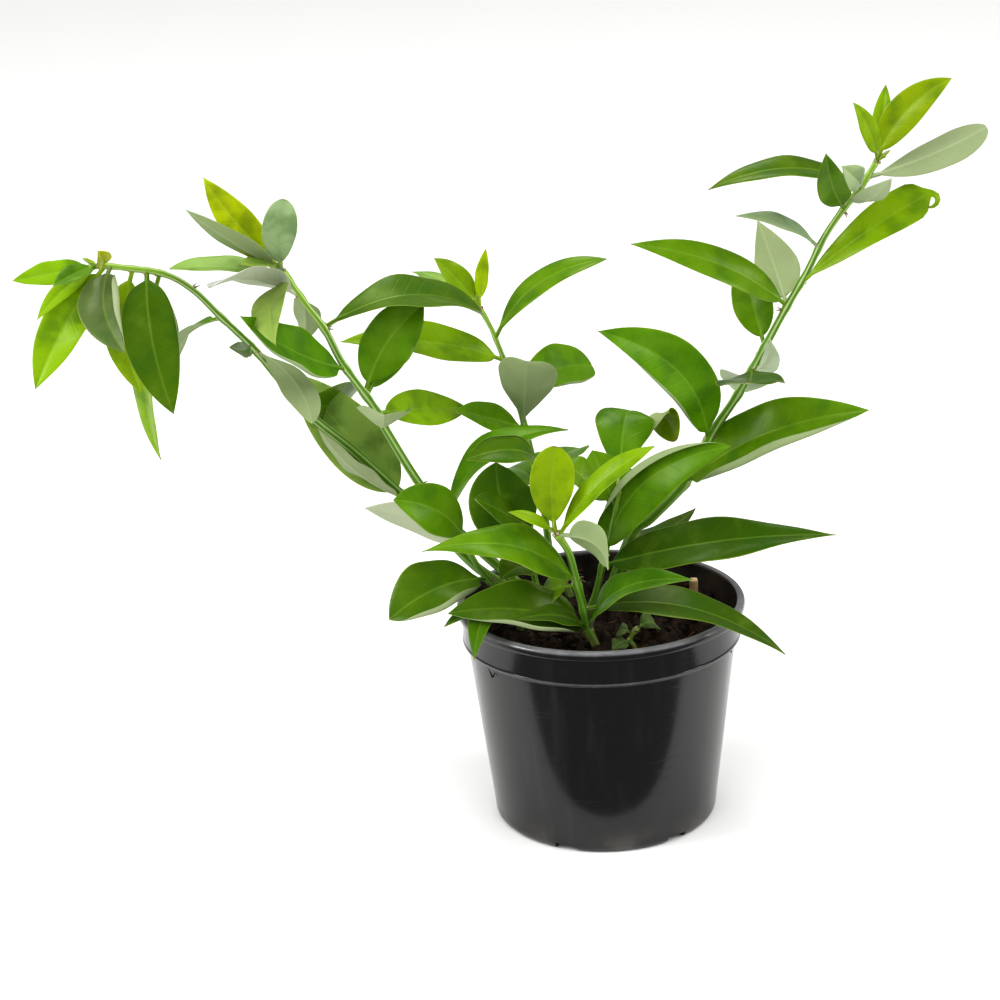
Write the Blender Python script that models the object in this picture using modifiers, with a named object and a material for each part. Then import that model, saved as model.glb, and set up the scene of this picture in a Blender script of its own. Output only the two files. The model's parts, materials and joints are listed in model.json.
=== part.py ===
"""Potted pereskia: five leafy stems and four low shoots in a round nursery pot of 13 cm.

Metres, +Z up. The origin is on the surface the pot stands on, in the middle of its base.
-Y is the front. The pot is a thin shell, the soil fills it, and each stem stands in a plain
hole in the soil with its leaves grown fast to it.
"""
import math

import bmesh
import bpy
import numpy as np
from mathutils import Vector

MM = 0.001

# Pot, in millimetres
LIP_RADIUS = 65.0
POT_HEIGHT = 102.0
BAND_RADIUS = 62.4
BAND_BOTTOM = 86.0
BASE_RADIUS = 51.0
FOOT_OUTER = 48.0
FOOT_INNER = 40.5
CENTRE_DISC = 30.5
CHANNEL_HEIGHT = 2.2
WALL = 1.5
LIP_THICKNESS = 4.0
TURN_STEPS = 40
DRAIN_COUNT = 6
DRAIN_WIDTH = 10.0
DRAIN_HEIGHT = 3.2
DRAIN_FIRST_ANGLE = -54.0

# Soil, in millimetres
SOIL_TOP = 88.0
SOIL_MOUND = 2.0
FIT_GAP = 0.3
ROOT_DEPTH = 24.0

# Leaves and stems, in millimetres
BLADE_THICKNESS = 0.7
PETIOLE_LENGTH = 5.0
PETIOLE_WIDTH = 2.0
STEM_STEP = 11.0
SPINE_LENGTH = 3.2
SPINE_RADIUS = 0.55

# Where the plant is looked at from: the eye's place and the scale of its picture.
# A place on the plant is written as the pixel it is seen at, with its depth in
# millimetres behind the pot's axis. The picture is 1000 pixels square, from its top left.
EYE = Vector((-43.3, -1090.2, 528.3))
EYE_PITCH = math.radians(19.1)
EYE_ROLL = math.radians(-2.36)
PICTURE_CENTRE = 500.0
PICTURE_SCALE = 2600.0

EYE_AHEAD = Vector((0, math.cos(EYE_PITCH), -math.sin(EYE_PITCH)))
LEVEL_UP = Vector((0, math.sin(EYE_PITCH), math.cos(EYE_PITCH)))
EYE_RIGHT = Vector((1, 0, 0)) * math.cos(EYE_ROLL) + LEVEL_UP * math.sin(EYE_ROLL)
EYE_UP = LEVEL_UP * math.cos(EYE_ROLL) - Vector((1, 0, 0)) * math.sin(EYE_ROLL)


def seen(px, py, depth):
    """The point at that depth which the eye sees at pixel (px, py), in millimetres."""
    ray = (EYE_AHEAD + EYE_RIGHT * (px - PICTURE_CENTRE) / PICTURE_SCALE
           - EYE_UP * (py - PICTURE_CENTRE) / PICTURE_SCALE)
    return EYE + ray * ((depth - EYE.y) / ray.y)


def pixel_of(point):
    """The pixel that a point is seen at."""
    away = point - EYE
    distance = away.dot(EYE_AHEAD)
    return (PICTURE_CENTRE + PICTURE_SCALE * away.dot(EYE_RIGHT) / distance,
            PICTURE_CENTRE - PICTURE_SCALE * away.dot(EYE_UP) / distance)


# Each plant: the foot on the soil (x, y), the route of the stem as (px, py, depth) from low
# to high, its radius at the foot and at the end in millimetres, the pixels of the nodes
# that bear spines, and its leaves. A leaf is (px, py on the stem; px, py, depth of its tip;
# width; face; arch; bow; fold), in some with widest and curl. Face is how far the upper
# side is turned from the eye towards the clockwise side of the leaf, in degrees. Arch, bow
# and curl are how far the midrib bulges towards the upper side, towards the clockwise side
# and towards the tip, as shares of the length. Fold lifts both halves, in degrees. Widest is
# the share of the blade's length at which it is widest: blunt leaves have it far out.
PLANTS = {
    "stem_left_long": dict(
        foot=(-26, 24),
        route=[(478, 568, 26), (440, 530, 27), (397, 490, 26), (352, 449, 23), (314, 418, 20),
               (282, 383, 15), (253, 348, 10), (221, 317, 3), (193, 290, -4), (164, 274, -10),
               (126, 268, -16), (97, 265, -20)],
        radius=(2.6, 1.2),
        spines=[(194, 287), (256, 346), (314, 420)],
        leaves=[
            (97, 265, 12, 281, -26, 12, 30, 0, 0, 10),
            (97, 265, 53, 286, -50, 10, 40, .03, 0, 14),
            (100, 266, 37, 320, -44, 9, 30, .03, .05, 10),
            (102, 266, 98, 251, -44, 9, 30, .05, 0, 16, .5),
            (106, 267, 35, 390, -45, 21, 20, .04, .03, 10),
            (112, 267, 125, 353, -62, 23, 10, .05, .10, 14),
            (134, 268, 142, 394, -20, 20, 30, .05, .08, 10),
            (147, 270, 174, 415, -42, 26, 0, .10, .05, 12),
            (160, 272, 161, 460, 8, 20, 55, .09, 0, 12),
            (221, 319, 170, 385, 22, 20, 105, .17, 0, 12),
            (253, 343, 229, 347, -28, 8, 20, 0, -.05, 10),
            (257, 352, 312, 424, -26, 17, 145, -.05, .09, 8, .55),
            (404, 497, 292, 372, 44, 31, 15, .06, -.02, 8),
            (405, 498, 318, 428, 5, 15, 115, -.08, 0, 8),
            (300, 402, 345, 395, 90, 28, 30, .12, 0, 12),
            (147, 270, 152, 350, 48, 26, 0, .12, 0, 12),
        ]),
    "stem_left_upright": dict(
        foot=(-18, 6),
        route=[(520, 585, 4), (455, 528, 2), (420, 485, 0), (388, 433, -2), (374, 407, -4),
               (343, 364, -8), (325, 330, -10), (304, 302, -13), (282, 270, -16)],
        radius=(2.7, 1.4),
        spines=[(325, 330), (374, 407), (420, 485)],
        leaves=[
            (272, 259, 203, 177, -22, 16, 10, 0, -.03, 8),
            (274, 261, 186, 210, -38, 16, 120, -.02, 0, 8),
            (282, 266, 284, 199, -30, 15, 0, .10, -.05, 10, .62),
            (284, 275, 169, 269, -20, 17, 62, .04, 0, 12, .55),
            (278, 266, 240, 265, -30, 10, 60, .12, 0, 8),
            (300, 297, 209, 288, -48, 24, 112, .12, 0, 10, .55),
            (286, 280, 276, 346, -56, 20, 45, .10, .06, 10, .36),
            (302, 299, 304, 342, 30, 15, -150, .06, 0, 10),
            (347, 369, 240, 316, -46, 25, 45, -.02, -.05, 8),
            (325, 328, 482, 313, 24, 28, -60, .16, 0, 10, .6),
            (368, 393, 424, 304, 10, 25, 10, .05, -.10, 12, .5),
            (380, 420, 384, 415, -48, 34, -150, -.08, 0, 38, .5),
            (378, 412, 468, 408, 40, 20, -30, .02, 0, 10),
            (381, 421, 415, 362, 55, 24, 0, .12, 0, 10),
            (448, 520, 569, 430, 12, 23, -60, .22, 0, 10),
        ]),
    "stem_middle": dict(
        foot=(-12, 38),
        route=[(552, 560, 42), (544, 510, 44), (535, 468, 46), (524, 423, 47), (514, 392, 48),
               (504, 360, 49), (497, 342, 50), (491, 328, 51), (480, 308, 52)],
        radius=(2.2, 1.0),
        spines=[(504, 360), (524, 423)],
        leaves=[
            (480, 308, 434, 258, 42, 14, 30, 0, .03, 8),
            (480, 308, 486, 248, 48, 7, 20, 0, -.03, 10),
            (483, 314, 412, 272, 74, 22, 60, .10, 0, 8),
            (500, 338, 607, 259, 48, 19, -55, .17, 0, 8, .5),
            (503, 360, 340, 342, 32, 22, 40, .09, 0, 10),
            (523, 422, 527, 362, 22, 30, 175, -.06, 0, 26, .68),
            (514, 395, 592, 366, 78, 25, -25, .08, -.06, 8, .6),
            (524, 430, 455, 411, 20, 19, 45, .02, 0, 8),
            (540, 490, 586, 450, 90, 28, -60, .12, 0, 10),
            (540, 490, 500, 475, 96, 28, 60, .12, 0, 10),
        ]),
    "stem_right": dict(
        foot=(6, 38),
        route=[(632, 535, 36), (652, 517, 34), (687, 480, 31), (712, 433, 28), (738, 394, 26),
               (763, 350, 24), (785, 310, 21), (806, 274, 19), (824, 238, 17), (842, 211, 14),
               (861, 187, 12), (877, 161, 10)],
        radius=(3.0, 1.2),
        spines=[(712, 433), (785, 310), (842, 211)],
        leaves=[
            (708, 440, 597, 331, 2, 28, 14, .10, .13, 10),
            (688, 479, 870, 410, 6, 32, -30, .12, -.02, 8),
            (753, 370, 747, 383, -34, 32, 26, -.04, 0, 4, .5),
            (757, 377, 770, 338, 18, 13, 170, .05, -.16, 12, .30),
            (764, 347, 741, 262, 52, 19, 0, .05, 0, 10),
            (785, 306, 630, 244, 2, 19, 35, .10, .02, 8),
            (785, 304, 757, 219, 46, 22, 165, .05, 0, 12, .36),
            (820, 248, 735, 216, 2, 12, 60, .11, 0, 12, .38),
            (862, 186, 708, 190, -8, 18, 58, .14, 0, 10),
            (845, 207, 826, 153, -16, 15, 0, .06, -.04, 14),
            (862, 186, 842, 166, -12, 12, 20, .06, 0, 12),
            (852, 199, 892, 178, -18, 12, -130, -.12, 0, 12),
            (808, 288, 955, 180, 8, 18, -25, .06, -.01, 8, .66),
            (870, 178, 987, 127, 6, 16, 150, 0, -.04, 8, .62),
            (875, 160, 952, 78, 2, 16, -10, .05, -.10, 10, .45),
            (874, 158, 853, 102, -6, 9, 20, .04, .04, 12),
            (875, 160, 886, 84, 16, 9, 0, .05, 0, 10),
            (738, 394, 750, 381, 92, 26, -30, .05, 0, 10),
            (632, 535, 696, 508, 80, 13, -60, -.08, 0, 10),
        ]),
    "shoot_front": dict(
        foot=(-3, -29),
        route=[(588, 630, -30), (583, 607, -32), (576, 580, -34), (569, 553, -36),
               (556, 533, -38)],
        radius=(2.5, 1.5),
        spines=[(576, 580)],
        leaves=[
            (556, 533, 556, 446, -36, 20, 0, .05, -.05, 14, .6),
            (560, 537, 655, 446, -42, 15, -50, .10, 0, 10, .48),
            (558, 535, 608, 570, -68, 22, -125, .18, .03, 8),
            (577, 585, 421, 552, -52, 26, 45, .20, 0, 8, .34),
            (556, 533, 508, 512, -48, 7, 40, .08, 0, 14),
            (588, 633, 447, 614, -42, 28, 35, .16, 0, 12),
            (588, 630, 517, 620, -52, 13, 50, .14, 0, 8),
            (589, 633, 693, 580, -58, 20, -55, .20, 0, 10),
            (584, 610, 786, 655, -57, 23, -52, .15, 0, 8),
            (575, 587, 541, 600, -18, 19, 40, .16, 0, 8, .5),
        ]),
    "shoot_right": dict(
        foot=(-6, 10),
        route=[(596, 592, 8), (603, 562, 6), (612, 525, 4), (620, 488, 2)],
        radius=(2.0, 1.2),
        spines=[(603, 562)],
        leaves=[
            (605, 556, 733, 446, -14, 28, -15, .08, -.12, 8),
            (602, 567, 837, 535, -6, 28, -40, .06, 0, 10, .36),
            (620, 488, 630, 407, 30, 27, 0, .10, -.06, 12, .68),
            (620, 488, 676, 441, 40, 20, 110, -.30, .15, 8, .6, .50),
            (615, 510, 592, 450, 10, 24, 10, .08, 0, 8),
            (612, 525, 640, 470, 30, 26, 0, .08, 0, 8),
        ]),
    "shoot_left": dict(
        foot=(-36, -2),
        route=[(510, 600, -6), (490, 582, -9), (474, 560, -12), (464, 540, -15)],
        radius=(1.9, 1.2),
        spines=[(490, 582)],
        leaves=[
            (465, 542, 393, 500, -32, 23, 20, .10, .10, 8, .5),
            (468, 548, 364, 508, -6, 18, 140, .10, 0, 8),
            (488, 580, 389, 620, -32, 33, 35, .17, 0, 8, .5),
            (512, 602, 474, 661, -60, 16, 40, .22, 0, 8),
            (510, 600, 444, 627, -42, 13, 60, .04, 0, 8),
        ]),
    "shoot_middle": dict(
        foot=(-20, -4),
        route=[(538, 590, -6), (532, 560, -8), (530, 530, -9), (536, 500, -9), (545, 465, -8)],
        radius=(1.8, 1.1),
        spines=[(532, 560)],
        leaves=[
            (531, 548, 496, 462, -8, 32, 0, .06, -.10, 8, .52),
            (532, 530, 475, 499, -30, 18, 50, .02, 0, 8, .5),
            (545, 468, 467, 460, -28, 19, 50, .20, 0, 8, .5),
            (545, 466, 593, 497, -14, 20, -50, .26, 0, 8),
            (534, 570, 500, 580, -30, 18, 50, .14, 0, 8),
        ]),
    "seedling": dict(
        foot=(14, -32),
        route=[(630, 640, -30), (636, 630, -30)],
        radius=(1.3, .9),
        spines=[],
        leaves=[
            (633, 634, 658, 633, -24, 12, -50, .50, 0, 8),
            (634, 634, 616, 636, -26, 9, 50, .35, 0, 8),
            (630, 641, 612, 650, -36, 9, 40, .15, 0, 8),
        ]),
}

# The cut end of an old stem, in millimetres
STUB_FOOT = (44, 25)
STUB_HEIGHT = 12.0
STUB_RADIUS = 2.2

# Shares of the blade's length at which the leaf has a row of points
BLADE_ROWS = (0.0, 0.14, 0.34, 0.56, 0.79)
WIDEST = 0.42
WIDTH_RISE = 0.62


def clear_scene():
    for old in list(bpy.data.objects):
        bpy.data.objects.remove(old, do_unlink=True)


def new_collection(name):
    group = bpy.data.collections.new(name)
    bpy.context.scene.collection.children.link(group)
    return group


def paint(obj, colour, roughness):
    """Gives the object a plain surface of its own."""
    finish = bpy.data.materials.new(obj.name + "_finish")
    finish.use_nodes = True
    shader = finish.node_tree.nodes["Principled BSDF"]
    shader.inputs["Base Color"].default_value = (*colour, 1)
    shader.inputs["Roughness"].default_value = roughness
    shader.inputs["Metallic"].default_value = 0.0
    obj.data.materials.clear()
    obj.data.materials.append(finish)


def mesh_object(name, vertices, faces, group):
    mesh = bpy.data.meshes.new(name)
    mesh.from_pydata([tuple(v) for v in vertices], [], faces)
    obj = bpy.data.objects.new(name, mesh)
    group.objects.link(obj)
    return obj


def as_mesh(obj, group):
    """A closed mesh object with the evaluated shape of this one, which is removed."""
    bpy.context.view_layer.update()
    evaluated = obj.evaluated_get(bpy.context.evaluated_depsgraph_get())
    mesh = bpy.data.meshes.new_from_object(evaluated)
    place = obj.matrix_world.copy()
    name = obj.name
    bpy.data.objects.remove(obj, do_unlink=True)
    shape = bmesh.new()
    shape.from_mesh(mesh)
    bmesh.ops.remove_doubles(shape, verts=shape.verts, dist=0.00001)
    bmesh.ops.triangulate(shape, faces=shape.faces)
    shape.to_mesh(mesh)
    shape.free()
    solid = bpy.data.objects.new(name, mesh)
    solid.matrix_world = place
    group.objects.link(solid)
    return solid


def turned(name, profile, group):
    """Turns a profile of (radius, height) in millimetres about the pot's axis."""
    points = [(r * MM, 0, z * MM) for r, z in profile]
    edges = [(i, i + 1) for i in range(len(points) - 1)]
    mesh = bpy.data.meshes.new(name)
    mesh.from_pydata(points, edges, [])
    obj = bpy.data.objects.new(name, mesh)
    group.objects.link(obj)
    turn = obj.modifiers.new("turn", 'SCREW')
    turn.steps = TURN_STEPS
    turn.render_steps = TURN_STEPS
    turn.use_smooth_shade = True
    turn.use_merge_vertices = True
    turn.merge_threshold = 0.00001
    return obj


def cut(obj, cutters):
    """Takes the shapes of a collection out of the object."""
    step = obj.modifiers.new("cut", 'BOOLEAN')
    step.operation = 'DIFFERENCE'
    step.operand_type = 'COLLECTION'
    step.collection = cutters
    step.solver = 'EXACT'


def hide_guides(group):
    for guide in group.objects:
        guide.hide_render = True
        guide.display_type = 'WIRE'


def make_pot(parts):
    """A thin shell: flat centre and foot ring, tapered wall, upright band and rolled lip."""
    inner_base = BASE_RADIUS - WALL
    inner_band = BAND_RADIUS - WALL
    under_lip = POT_HEIGHT - LIP_THICKNESS
    inside = [(0, WALL), (CENTRE_DISC - 1, WALL), (CENTRE_DISC, WALL + CHANNEL_HEIGHT),
              (FOOT_INNER, WALL + CHANNEL_HEIGHT), (FOOT_INNER + 1, WALL),
              (FOOT_OUTER - 1, WALL), (inner_base, 5.0),
              (inner_band - 1.9, BAND_BOTTOM - 1.4), (inner_band, BAND_BOTTOM + 1),
              (inner_band + 0.3, POT_HEIGHT - 1.2)]
    lip = [(LIP_RADIUS - 3.0, POT_HEIGHT), (LIP_RADIUS - 1.4, POT_HEIGHT),
           (LIP_RADIUS - 0.4, POT_HEIGHT - 0.8), (LIP_RADIUS, POT_HEIGHT - 2.0),
           (LIP_RADIUS - 0.3, under_lip + 0.5), (LIP_RADIUS - 1.0, under_lip)]
    outside = [(BAND_RADIUS + 0.2, under_lip), (BAND_RADIUS, BAND_BOTTOM + 1.4),
               (BAND_RADIUS + 0.5, BAND_BOTTOM + 0.6), (BAND_RADIUS + 0.4, BAND_BOTTOM - 0.3),
               (BAND_RADIUS - 1.9, BAND_BOTTOM - 1.4), (BASE_RADIUS, 7.0),
               (BASE_RADIUS - 0.7, 2.8), (FOOT_OUTER + 1.2, 0.7), (FOOT_OUTER, 0),
               (FOOT_INNER + 0.5, 0), (FOOT_INNER - 0.3, CHANNEL_HEIGHT),
               (CENTRE_DISC + 0.6, CHANNEL_HEIGHT), (CENTRE_DISC, 0), (0, 0)]
    pot = turned("pot", inside + lip + outside, parts)

    notches = new_collection("drain_notches")
    middle = (FOOT_INNER - 1 + BASE_RADIUS + 2) / 2
    length = BASE_RADIUS + 2 - (FOOT_INNER - 1)
    for i in range(DRAIN_COUNT):
        angle = math.radians(DRAIN_FIRST_ANGLE + i * 360 / DRAIN_COUNT)
        bpy.ops.mesh.primitive_cube_add(size=1)
        notch = bpy.context.object
        notch.name = f"notch_{i + 1}"
        notch.dimensions = (length * MM, DRAIN_WIDTH * MM, 2 * DRAIN_HEIGHT * MM)
        notch.rotation_euler.z = angle
        notch.location = (middle * MM * math.cos(angle), middle * MM * math.sin(angle), 0)
        for holder in list(notch.users_collection):
            holder.objects.unlink(notch)
        notches.objects.link(notch)
    hide_guides(notches)
    cut(pot, notches)
    paint(pot, (0.018, 0.018, 0.020), 0.35)


def smooth_route(points):
    """Even steps along the smooth curve through these points (centripetal Catmull-Rom)."""
    ends = [2 * points[0] - points[1]] + points + [2 * points[-1] - points[-2]]
    fine = []
    for a, b, c, d in zip(ends, ends[1:], ends[2:], ends[3:]):
        steps = max(2, round((c - b).length / 2))
        for k in range(steps):
            t = k / steps
            fine.append(0.5 * (2 * b + (c - a) * t + (2 * a - 5 * b + 4 * c - d) * t ** 2
                               + (3 * b - a - 3 * c + d) * t ** 3))
    fine.append(points[-1])
    lengths = np.array([0] + [(q - p).length for p, q in zip(fine, fine[1:])]).cumsum()
    count = max(3, round(lengths[-1] / STEM_STEP) + 1)
    even = np.linspace(0, lengths[-1], count)
    axes = [np.interp(even, lengths, [p[i] for p in fine]) for i in range(3)]
    return [Vector(p) for p in zip(*axes)]


def stem_route(plant):
    """From the root end in the soil, straight up out of its hole, along the seen route."""
    x, y = plant["foot"]
    above = [seen(*point) for point in plant["route"]]
    foot = Vector((x, y, SOIL_TOP))
    lean = (above[0] - foot).normalized()
    root = foot - Vector((lean.x * 0.4, lean.y * 0.4, 1)) * ROOT_DEPTH
    return smooth_route([root, foot] + above)


def tube(name, route, radii, group):
    """A round tube along the route with a radius for each of its points."""
    curve = bpy.data.curves.new(name, 'CURVE')
    curve.dimensions = '3D'
    curve.bevel_depth = MM
    curve.bevel_resolution = 1
    curve.use_fill_caps = True
    line = curve.splines.new('POLY')
    line.points.add(len(route) - 1)
    for point, place, radius in zip(line.points, route, radii):
        point.co = (*(place * MM), 1)
        point.radius = radius
    obj = bpy.data.objects.new(name, curve)
    group.objects.link(obj)
    return as_mesh(obj, group)


def half_width(share, width, widest):
    """Half the blade's width at a share of its length: round foot, drawn-out point."""
    fall = WIDTH_RISE * (1 - widest) / widest
    peak = widest ** WIDTH_RISE * (1 - widest) ** fall
    return width / 2 * share ** WIDTH_RISE * (1 - share) ** fall / peak


def leaf(name, root, tip, group, width, face, arch, bow, fold, widest=WIDEST, curl=0):
    """A blade on its petiole, from the middle of the stem to its tip.

    The midrib is the chord plus a parabola towards the upper side (arch), one sideways (bow)
    and one ahead (curl). Across it both halves rise by the fold. The sheet of triangles is
    thickened, so both faces are split alike.
    """
    chord = tip - root
    length = chord.length
    along = chord.normalized()
    to_eye = EYE - (root + tip) / 2
    front = (to_eye - along * to_eye.dot(along)).normalized()
    side_of_eye = along.cross(front)
    turn = math.radians(face)
    upper = front * math.cos(turn) + side_of_eye * math.sin(turn)
    side = along.cross(upper)
    lift = math.sin(math.radians(fold))
    spread = math.cos(math.radians(fold))
    blade_start = PETIOLE_LENGTH / length

    def midrib(t):
        bulge = 4 * t * (1 - t) * length
        return root + chord * t + upper * bulge * arch + side * bulge * bow + along * bulge * curl

    points = []
    for t, half in [(0, PETIOLE_WIDTH / 2)] + [
            (blade_start + (1 - blade_start) * row,
             max(half_width(row, width, widest), PETIOLE_WIDTH / 2)) for row in BLADE_ROWS]:
        slope = (midrib(t + 0.01) - midrib(t - 0.01)).normalized()
        normal = side.cross(slope)
        flatness = min(1.0, half / (width / 4))
        for u in (-1, 0, 1):
            points.append(midrib(t) + side * u * half * spread
                          + normal * abs(u) * half * lift * flatness)
    points.append(tip)
    last = len(points) - 1
    faces = []
    for row in range(len(BLADE_ROWS)):
        a = 3 * row
        faces += [(a, a + 3, a + 1), (a + 1, a + 3, a + 4),
                  (a + 1, a + 4, a + 5), (a + 1, a + 5, a + 2)]
    faces += [(last - 3, last, last - 2), (last - 2, last, last - 1)]
    sheet = mesh_object(name, [p * MM for p in points], faces, group)
    thick = sheet.modifiers.new("thickness", 'SOLIDIFY')
    thick.thickness = BLADE_THICKNESS * MM
    thick.offset = 0
    return sheet


def spine(name, place, direction, group):
    """A short straight spine, its foot in the stem."""
    bpy.ops.mesh.primitive_cone_add(vertices=3, radius1=SPINE_RADIUS * MM, radius2=0,
                                    depth=SPINE_LENGTH * MM)
    obj = bpy.context.object
    obj.name = name
    obj.rotation_euler = direction.to_track_quat('Z', 'Y').to_euler()
    obj.location = (place + direction * SPINE_LENGTH / 2) * MM
    for holder in list(obj.users_collection):
        holder.objects.unlink(obj)
    group.objects.link(obj)


def nearest(route, pixel):
    """The step of the route that is seen nearest to a pixel."""
    def gap(i):
        px, py = pixel_of(route[i])
        return math.hypot(px - pixel[0], py - pixel[1])
    return min(range(len(route)), key=gap)


def make_plant(name, plant, parts, cutters):
    """One stem with all its leaves and spines, joined in one body."""
    route = stem_route(plant)
    low, high = plant["radius"]
    radii = [low + (high - low) * (i / (len(route) - 1)) ** 0.8 for i in range(len(route))]
    stem = tube(name, route, radii, parts)
    growths = new_collection(name + "_growths")
    fine = smooth_fine(route)
    for i, row in enumerate(plant["leaves"]):
        at = fine[nearest(fine, row[:2])]
        leaf(f"{name}_leaf_{i + 1}", at, seen(*row[2:5]), growths, *row[5:])
    for i, pixel in enumerate(plant["spines"]):
        k = nearest(route, pixel)
        along = (route[min(k + 1, len(route) - 1)] - route[k - 1]).normalized()
        out = along.orthogonal().normalized()
        for j, sign in enumerate((1, -1)):
            slant = (along.cross(out) * sign + out * (1 if i % 2 else -1) * 0.6
                     - along * 0.2).normalized()
            spine(f"{name}_spine_{i + 1}_{j + 1}", route[k] + slant * radii[k] * 0.8,
                  slant, growths)
    join = stem.modifiers.new("join", 'BOOLEAN')
    join.operation = 'UNION'
    join.operand_type = 'COLLECTION'
    join.collection = growths
    join.solver = 'EXACT'
    joined = as_mesh(stem, parts)
    joined.name = name
    for used in list(growths.objects):
        bpy.data.objects.remove(used, do_unlink=True)
    bpy.data.collections.remove(growths)
    paint(joined, (0.09, 0.26, 0.02), 0.35)

    sunk = [p for p in route if p.z < SOIL_TOP + 18]
    hole_radii = [r + FIT_GAP for r in radii[:len(sunk)]]
    below = 2 * sunk[0] - sunk[1]
    start = sunk[0] + (below - sunk[0]).normalized() * FIT_GAP
    tube("hole_" + name, [start] + sunk[1:], hole_radii, cutters)


def smooth_fine(route):
    """The route's own line in steps of about a millimetre."""
    fine = []
    for p, q in zip(route, route[1:]):
        steps = max(1, round((q - p).length))
        fine += [p.lerp(q, k / steps) for k in range(steps)]
    return fine + [route[-1]]


def make_stub(parts, cutters):
    """The cut end of an old stem, upright in the soil."""
    x, y = STUB_FOOT
    ends = [Vector((x, y, SOIL_TOP - ROOT_DEPTH)), Vector((x, y, SOIL_TOP + STUB_HEIGHT))]
    stub = tube("cut_stub", ends, [STUB_RADIUS] * 2, parts)
    paint(stub, (0.42, 0.30, 0.16), 0.8)
    start = ends[0] - Vector((0, 0, FIT_GAP))
    tube("hole_cut_stub", [start, ends[1]], [STUB_RADIUS + FIT_GAP] * 2, cutters)


def make_soil(parts, holes):
    """Peat that fills the pot to a finger's width below its lip, with a low mound."""
    inner_base = BASE_RADIUS - WALL - FIT_GAP
    inner_band = BAND_RADIUS - WALL - FIT_GAP
    floor = WALL + CHANNEL_HEIGHT + FIT_GAP
    profile = [(0, SOIL_TOP + SOIL_MOUND), (25, SOIL_TOP + SOIL_MOUND * 0.7),
               (50, SOIL_TOP + SOIL_MOUND * 0.1), (inner_band - 0.2, SOIL_TOP),
               (inner_band - 2.1, BAND_BOTTOM - 1.4), (inner_base, 6.0),
               (inner_base - 0.6, floor), (0, floor)]
    soil = turned("soil", profile, parts)
    cut(soil, holes)
    paint(soil, (0.05, 0.03, 0.02), 0.95)


clear_scene()
parts = new_collection("potted_pereskia")
holes = new_collection("stem_holes")
make_pot(parts)
for plant_name, plant in PLANTS.items():
    make_plant(plant_name, plant, parts, holes)
make_stub(parts, holes)
hide_guides(holes)
make_soil(parts, holes)
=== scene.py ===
"""Potted pereskia: glossy leaves on ribbed green stems, in a scuffed black nursery pot of peat.

Metres, +Z up, in the frame of the solids. The origin is in the middle of the pot's base,
and -Y is the front.
"""
import json

import bpy
import numpy as np
from mathutils import Matrix, Vector

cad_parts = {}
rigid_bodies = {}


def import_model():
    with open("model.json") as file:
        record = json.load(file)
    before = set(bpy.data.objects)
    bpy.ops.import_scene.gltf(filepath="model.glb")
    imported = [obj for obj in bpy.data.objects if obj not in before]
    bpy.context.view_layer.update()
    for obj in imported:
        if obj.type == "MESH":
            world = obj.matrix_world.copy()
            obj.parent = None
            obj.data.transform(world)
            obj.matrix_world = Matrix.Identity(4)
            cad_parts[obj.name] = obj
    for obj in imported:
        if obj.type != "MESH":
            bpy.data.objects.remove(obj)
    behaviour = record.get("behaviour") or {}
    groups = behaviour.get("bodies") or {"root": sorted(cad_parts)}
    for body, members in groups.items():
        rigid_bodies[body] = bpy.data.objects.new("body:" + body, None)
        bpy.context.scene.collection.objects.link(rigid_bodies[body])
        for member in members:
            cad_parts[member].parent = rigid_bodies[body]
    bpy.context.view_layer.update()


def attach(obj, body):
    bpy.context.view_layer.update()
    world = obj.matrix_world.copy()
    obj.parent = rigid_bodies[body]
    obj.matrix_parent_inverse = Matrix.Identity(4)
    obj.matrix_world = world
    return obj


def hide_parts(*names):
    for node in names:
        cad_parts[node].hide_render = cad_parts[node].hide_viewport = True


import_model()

# The eye looks down on the pot from about 1.2 m away, through a long lens that flattens it
# only a little. Its picture is 1000 pixels square, counted from the top left.
MM = 0.001
EYE = np.array([-43.3, -1090.2, 528.3]) * MM
EYE_PITCH = np.radians(19.1)
EYE_ROLL = np.radians(-2.36)
PICTURE_SCALE = 2600.0
PICTURE_WIDTH = 1000.0
PICTURE_CENTRE = PICTURE_WIDTH / 2
SENSOR_WIDTH = 36.0
NEAR_CLIP = 0.05

LEVEL_RIGHT = np.array([1.0, 0, 0])
EYE_AHEAD = np.array([0, np.cos(EYE_PITCH), -np.sin(EYE_PITCH)])
LEVEL_UP = np.array([0, np.sin(EYE_PITCH), np.cos(EYE_PITCH)])
EYE_RIGHT = LEVEL_RIGHT * np.cos(EYE_ROLL) + LEVEL_UP * np.sin(EYE_ROLL)
EYE_UP = LEVEL_UP * np.cos(EYE_ROLL) - LEVEL_RIGHT * np.sin(EYE_ROLL)

scene = bpy.context.scene
lens = bpy.data.cameras.new("eye")
lens.sensor_width = SENSOR_WIDTH
lens.lens = PICTURE_SCALE / PICTURE_WIDTH * SENSOR_WIDTH
lens.clip_start = NEAR_CLIP
eye = bpy.data.objects.new("eye", lens)
scene.collection.objects.link(eye)
turn = Matrix((EYE_RIGHT, EYE_UP, -EYE_AHEAD)).transposed().to_4x4()
eye.matrix_world = Matrix.Translation(Vector(EYE)) @ turn
scene.camera = eye


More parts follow.
